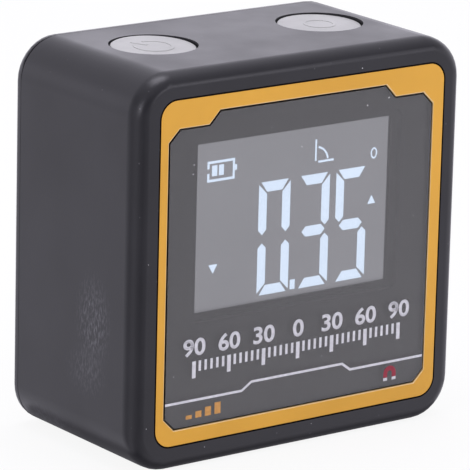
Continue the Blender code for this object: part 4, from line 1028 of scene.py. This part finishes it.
cap_profile = [
    (CAP_RADIUS * share, -CAP_CROWN * share ** 2) for share in (0.0, 0.25, 0.45, 0.6, 0.75, 0.88)]
cap_profile += [
    (CAP_RADIUS - CAP_EDGE + CAP_EDGE * sin(radians(a)), -CAP_CROWN - CAP_EDGE + CAP_EDGE * cos(radians(a)))
    for a in (0, 18, 36, 54, 72, 90)]
power_sign = [bar(-0.25, 1.0, 0.25, 3.8)]
power_sign += between(arc((0, 0), 3.15, 118, 422, SIGN_STEPS), arc((0, 0), 2.65, 118, 422, SIGN_STEPS))
zero_sign = between(arc((0, 0), 2.5, 0, 360, SIGN_STEPS), arc((0, 0), 2.1, 0, 360, SIGN_STEPS))
BUTTONS = (
    ("power_button", "power_key", "power_cap", 2.3, 0.00014, 29, 0.0023, power_sign),
    ("zero_button", "zero_key", "zero_cap", 1.7, 0.0, 0, 0.0021, zero_sign))
for cap_node, body, cap_name, lean, lower, turned, flange_sunk, outlines in BUTTONS:
    low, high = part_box(cap_node)
    place = Matrix.Translation(Vector(((low.x + high.x) / 2, (low.y + high.y) / 2, high.z - lower)))
    place = place @ Matrix.Rotation(radians(lean), 4, "X")
    flange_radius = (high.x - low.x) / 2
    flange_top, flange_end = -flange_sunk, -flange_sunk - FLANGE_THICKNESS
    stem_end = low.z - high.z + lower
    profile = cap_profile + [
        (CAP_RADIUS, flange_top), (flange_radius - FLANGE_EDGE, flange_top),
        (flange_radius, flange_top - FLANGE_EDGE), (flange_radius, flange_end + FLANGE_EDGE),
        (flange_radius - FLANGE_EDGE, flange_end), (CAP_RADIUS - CAP_WALL, flange_end),
        (CAP_RADIUS - CAP_WALL, CAP_CEILING), (0.0022, CAP_CEILING), (0.0020, CAP_CEILING - 0.0002),
        (0.0020, stem_end + 0.0002), (0.0018, stem_end), (0.0, stem_end)]
    cap = new_mesh_object(cap_name, turned_mesh(cap_name, profile, CAP_SIDES), cap_grey)
    cap.data.transform(place)
    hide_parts(cap_node)
    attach(cap, body)

    sign_shape = bmesh.new()
    for outline in outlines:
        ring = []
        for x, y in outline:
            share = min(Vector((x, y)).length * MM / CAP_RADIUS, 1.0)
            ring.append(sign_shape.verts.new((x * MM, y * MM, -CAP_CROWN * share ** 2 - SIGN_SUNK)))
        lifted = bmesh.ops.extrude_face_region(sign_shape, geom=[sign_shape.faces.new(ring)])
        for vert in verts_in(lifted["geom"]):
            vert.co.z += SIGN_HEIGHT
    bmesh.ops.remove_doubles(sign_shape, verts=sign_shape.verts[:], dist=0.000001)
    bmesh.ops.recalc_face_normals(sign_shape, faces=sign_shape.faces[:])
    sign = new_mesh_object(f"{cap_name}_sign", mesh_of(sign_shape, f"{cap_name}_sign"), cap_grey)
    sign.data.transform(place @ Matrix.Rotation(radians(turned), 4, "Z"))
    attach(sign, body)

# Board screws
# Blackened steel pan heads hold the main board and the key board to their bosses.
CORNERS = ("lower_left", "lower_right", "upper_left", "upper_right")

screw_steel = clouded_finish(
    "blackened_steel", 0.35, 900.0, (0.10, 0.10, 0.105), (0.17, 0.17, 0.17), polish=(1500.0, 0.26, 0.46),
    metallic=1.0)
for screw in [f"board_screw_{corner}" for corner in CORNERS] + ["key_screw_front", "key_screw_rear"]:
    finish_node(screw, screw_steel)

# Rear cover
# A second black ABS moulding closes the tub. It carries the battery bay, the locating lip and four deep
# screw holes. Its rim meets the housing in a fine line, which opens slightly at the corners.
COVER_RIM = 0.0146
HOUSING_RIM = 0.0143
RIM_GAP_SIDES = 0.00006
RIM_GAP_CORNERS = 0.00020

cover_black = moulded_black(
    "cover_black", ((0.012, 0.0161, 0.0500), (0.016, 0.004, 0.0090), 0.04, 20),
    ((-0.020, 0.0161, 0.0050), (0.016, 0.004, 0.0070), 0.05, 50))
cover = softened_copy("rear_cover_moulding", "rear_cover", MOULD_EDGE, cover_black)
side, low, high, corner = BODY_BOX
for vert in cover.data.vertices:
    on_outline = outline_distance(vert.co.x, vert.co.z, *BODY_BOX) > -4 * NEAR
    if abs(vert.co.y - COVER_RIM) < VERY_NEAR and on_outline:
        across = max(abs(vert.co.x) - side + corner, 0.0)
        along = max(abs(vert.co.z - high / 2) - high / 2 + corner, 0.0)
        corner_share = 2 * across * along / max(across ** 2 + along ** 2, 0.000000001)
        vert.co.y = HOUSING_RIM + RIM_GAP_SIDES + (RIM_GAP_CORNERS - RIM_GAP_SIDES) * corner_share
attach(cover, "gauge_body")

# Cell contacts
# Nickel-plated strips at the ends of the bay, with a dimple for each positive end and a conical spring in
# tinned wire for each negative end.
for plate in ("bridge_plate", "positive_plate", "negative_plate"):
    finish_node(plate, nickel)
SPRING_WIRE = 0.00025
SPRING_WIDE = 0.0034
SPRING_NARROW = 0.0024
SPRING_TURNS = 4.5
SPRING_POINTS = 150
SPRING_FLAT, SPRING_OPEN = 0.16, 0.68
for spring in ("coil_spring_lower", "coil_spring_upper"):
    low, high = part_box(spring)
    centre = (low + high) / 2
    outward = 1 if centre.x > 0 else -1
    plate_end = (high.x if outward > 0 else low.x) - outward * SPRING_WIRE
    cell_end = (low.x if outward > 0 else high.x) + outward * SPRING_WIRE
    coil = bpy.data.curves.new(f"{spring}_wire", "CURVE")
    coil.dimensions = "3D"
    coil.bevel_depth = SPRING_WIRE
    coil.bevel_resolution = 3
    coil.use_fill_caps = True
    line = coil.splines.new("POLY")
    line.points.add(SPRING_POINTS - 1)
    for i in range(SPRING_POINTS):
        share = i / (SPRING_POINTS - 1)
        rise = min(max((share - SPRING_FLAT) / SPRING_OPEN, 0.0), 1.0)
        radius = SPRING_WIDE + (SPRING_NARROW - SPRING_WIDE) * rise
        turn = 2 * pi * SPRING_TURNS * share * outward
        line.points[i].co = (
            plate_end + (cell_end - plate_end) * rise, centre.y + radius * cos(turn),
            centre.z + radius * sin(turn), 1.0)
    wire = new_mesh_object(f"{spring}_wire", coil, tinned)
    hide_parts(spring)
    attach(wire, "gauge_body")

# Leads
# Two short stranded leads in PVC carry the cells' current from the contact tabs to the board.
finish_node("red_lead", moulded_chip("red_pvc", (0.50, 0.020, 0.018), (0.42, 0.014, 0.013), 0.4))
finish_node("black_lead", moulded_chip("black_pvc", (0.016, 0.016, 0.016), (0.024, 0.024, 0.024), 0.4))

# Cells
# Two small round cells: a steel can in a printed sleeve, dark for most of its length and copper-coloured
# towards the positive end. The ends are bare steel, and a steel ring closes the positive one.
CELL_RADIUS = 0.00525
CELL_SIDES = 72
CELL_TIP = 0.0008
SLEEVE_SHARE = 0.24
SLEEVE_LIP = 0.00045

for cell, plus in (("battery_lower", 1), ("battery_upper", -1)):
    low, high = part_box(cell)
    centre = (low + high) / 2
    tip = high.x if plus > 0 else low.x
    body_length = high.x - low.x - CELL_TIP
    sleeve, sleeve_shader = new_finish(f"{cell}_sleeve", 0.28)
    sleeve_place = object_place(sleeve)
    along = add_node(sleeve, "ShaderNodeSeparateXYZ", {0: sleeve_place}).outputs["X"]
    copper_share = calculate(
        sleeve, "GREATER_THAN" if plus > 0 else "LESS_THAN", along, tip - plus * body_length * SLEEVE_SHARE)
    dark = cloudy(sleeve, sleeve_place, 300.0, (0.028, 0.030, 0.036), (0.040, 0.042, 0.048))
    copper = cloudy(sleeve, sleeve_place, 500.0, (0.50, 0.23, 0.09), (0.42, 0.19, 0.075))
    link(sleeve, mixed(sleeve, copper_share, dark, copper), sleeve_shader, "Base Color")
    uneven_polish(sleeve, sleeve_shader, sleeve_place, 600.0, 0.20, 0.34)
    profile = [
        (0.0, CELL_TIP), (0.0016, CELL_TIP), (0.0018, 0.00072), (0.0019, 0.0006), (0.0019, 0.0),
        (0.0024, 0.0), (0.0026, -0.0001), (CELL_RADIUS - 0.0009, -0.0001), (CELL_RADIUS - 0.0006, 0.0),
        (CELL_RADIUS - 0.0002, -0.00008), (CELL_RADIUS, -0.0004), (CELL_RADIUS, -body_length + 0.0004),
        (CELL_RADIUS - 0.0002, -body_length + 0.00008), (CELL_RADIUS - 0.0006, -body_length),
        (CELL_RADIUS - 0.0009, -body_length + 0.00012), (0.0, -body_length + 0.00012)]
    can = new_mesh_object(f"{cell}_can", turned_mesh(f"{cell}_can", profile, CELL_SIDES), sleeve, tinned)
    top = Vector((tip - plus * CELL_TIP, centre.y, centre.z))
    can.data.transform(Matrix.Translation(top) @ Matrix.Rotation(radians(90) * plus, 4, "Y"))
    for face in can.data.polygons:
        if (face.center - centre).yz.length < CELL_RADIUS - SLEEVE_LIP:
            face.material_index = 1
    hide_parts(cell)
    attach(can, "gauge_body")

# Cover screws
# Four blackened pan heads with a cross recess, deep in their holes in the rear cover.
HEAD_RADIUS = 0.0019
HEAD_HEIGHT = 0.0012
HEAD_SIDES = 48
SHANK_RADIUS = 0.00095
SHANK_LENGTH = 0.0080
RECESS_REACH = 0.00115
RECESS_WIDTH = 0.00026
RECESS_DEPTH = 0.0008
RECESS_TAPER = 0.45
HEAD_SHARP_ANGLE = 35
HEAD_TURNS = (17, 78, 139, 200)

head_profile = [
    (HEAD_RADIUS * sin(radians(a)), HEAD_HEIGHT * (0.45 + 0.55 * cos(radians(a))))
    for a in (0, 15, 30, 45, 60, 72, 82, 90)]
head_profile += [
    (HEAD_RADIUS, 0.0001), (HEAD_RADIUS - 0.0001, 0.0), (SHANK_RADIUS, 0.0),
    (SHANK_RADIUS, -SHANK_LENGTH * 0.85), (0.0003, -SHANK_LENGTH), (0.0, -SHANK_LENGTH)]
recess_shape = bmesh.new()
for turn in (0, 90):
    made = bmesh.ops.create_cube(recess_shape, size=1.0)
    for vert in made["verts"]:
        taper = RECESS_TAPER if vert.co.z < 0 else 1.0
        vert.co = Vector((
            vert.co.x * 2 * RECESS_REACH * taper, vert.co.y * 2 * RECESS_WIDTH * (0.5 + taper / 2),
            HEAD_HEIGHT + vert.co.z * 2 * RECESS_DEPTH))
    bmesh.ops.rotate(recess_shape, verts=made["verts"], matrix=Matrix.Rotation(radians(turn), 3, "Z"))
recess = new_mesh_object("cross_recess", mesh_of(recess_shape, "cross_recess"))
pattern = new_mesh_object("screw_pattern", turned_mesh("screw_pattern", head_profile, HEAD_SIDES))
cutting = pattern.modifiers.new("recess", "BOOLEAN")
cutting.operation = "DIFFERENCE"
cutting.object = recess
cutting.use_self = True
screw_mesh = bpy.data.meshes.new_from_object(pattern.evaluated_get(bpy.context.evaluated_depsgraph_get()))
bpy.data.objects.remove(pattern, do_unlink=True)
bpy.data.objects.remove(recess, do_unlink=True)
for corner, turned in zip(CORNERS, HEAD_TURNS):
    low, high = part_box(f"cover_screw_{corner}")
    seat = Vector(((low.x + high.x) / 2, low.y + SHANK_LENGTH, (low.z + high.z) / 2))
    head = screw_mesh.copy()
    head.transform(
        Matrix.Translation(seat) @ Matrix.Rotation(radians(-90), 4, "X")
        @ Matrix.Rotation(radians(turned), 4, "Z"))
    head.materials.clear()
    head.shade_smooth()
    head.set_sharp_from_angle(angle=radians(HEAD_SHARP_ANGLE))
    screw = new_mesh_object(f"cover_screw_{corner}_steel", head, screw_steel)
    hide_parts(f"cover_screw_{corner}")
    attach(screw, "gauge_body")

# Battery door
# A thin black ABS plate over the cells. Two toes hook under the cover below, and a catch at the top snaps
# home.
DOOR_EDGE = 0.00008

door_black = moulded_black("door_black", ((0.0, 0.0161, 0.0310), (0.014, 0.004, 0.0080), 0.05, 10))
door = softened_copy("battery_door_moulding", "battery_door", DOOR_EDGE, door_black)
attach(door, "door")
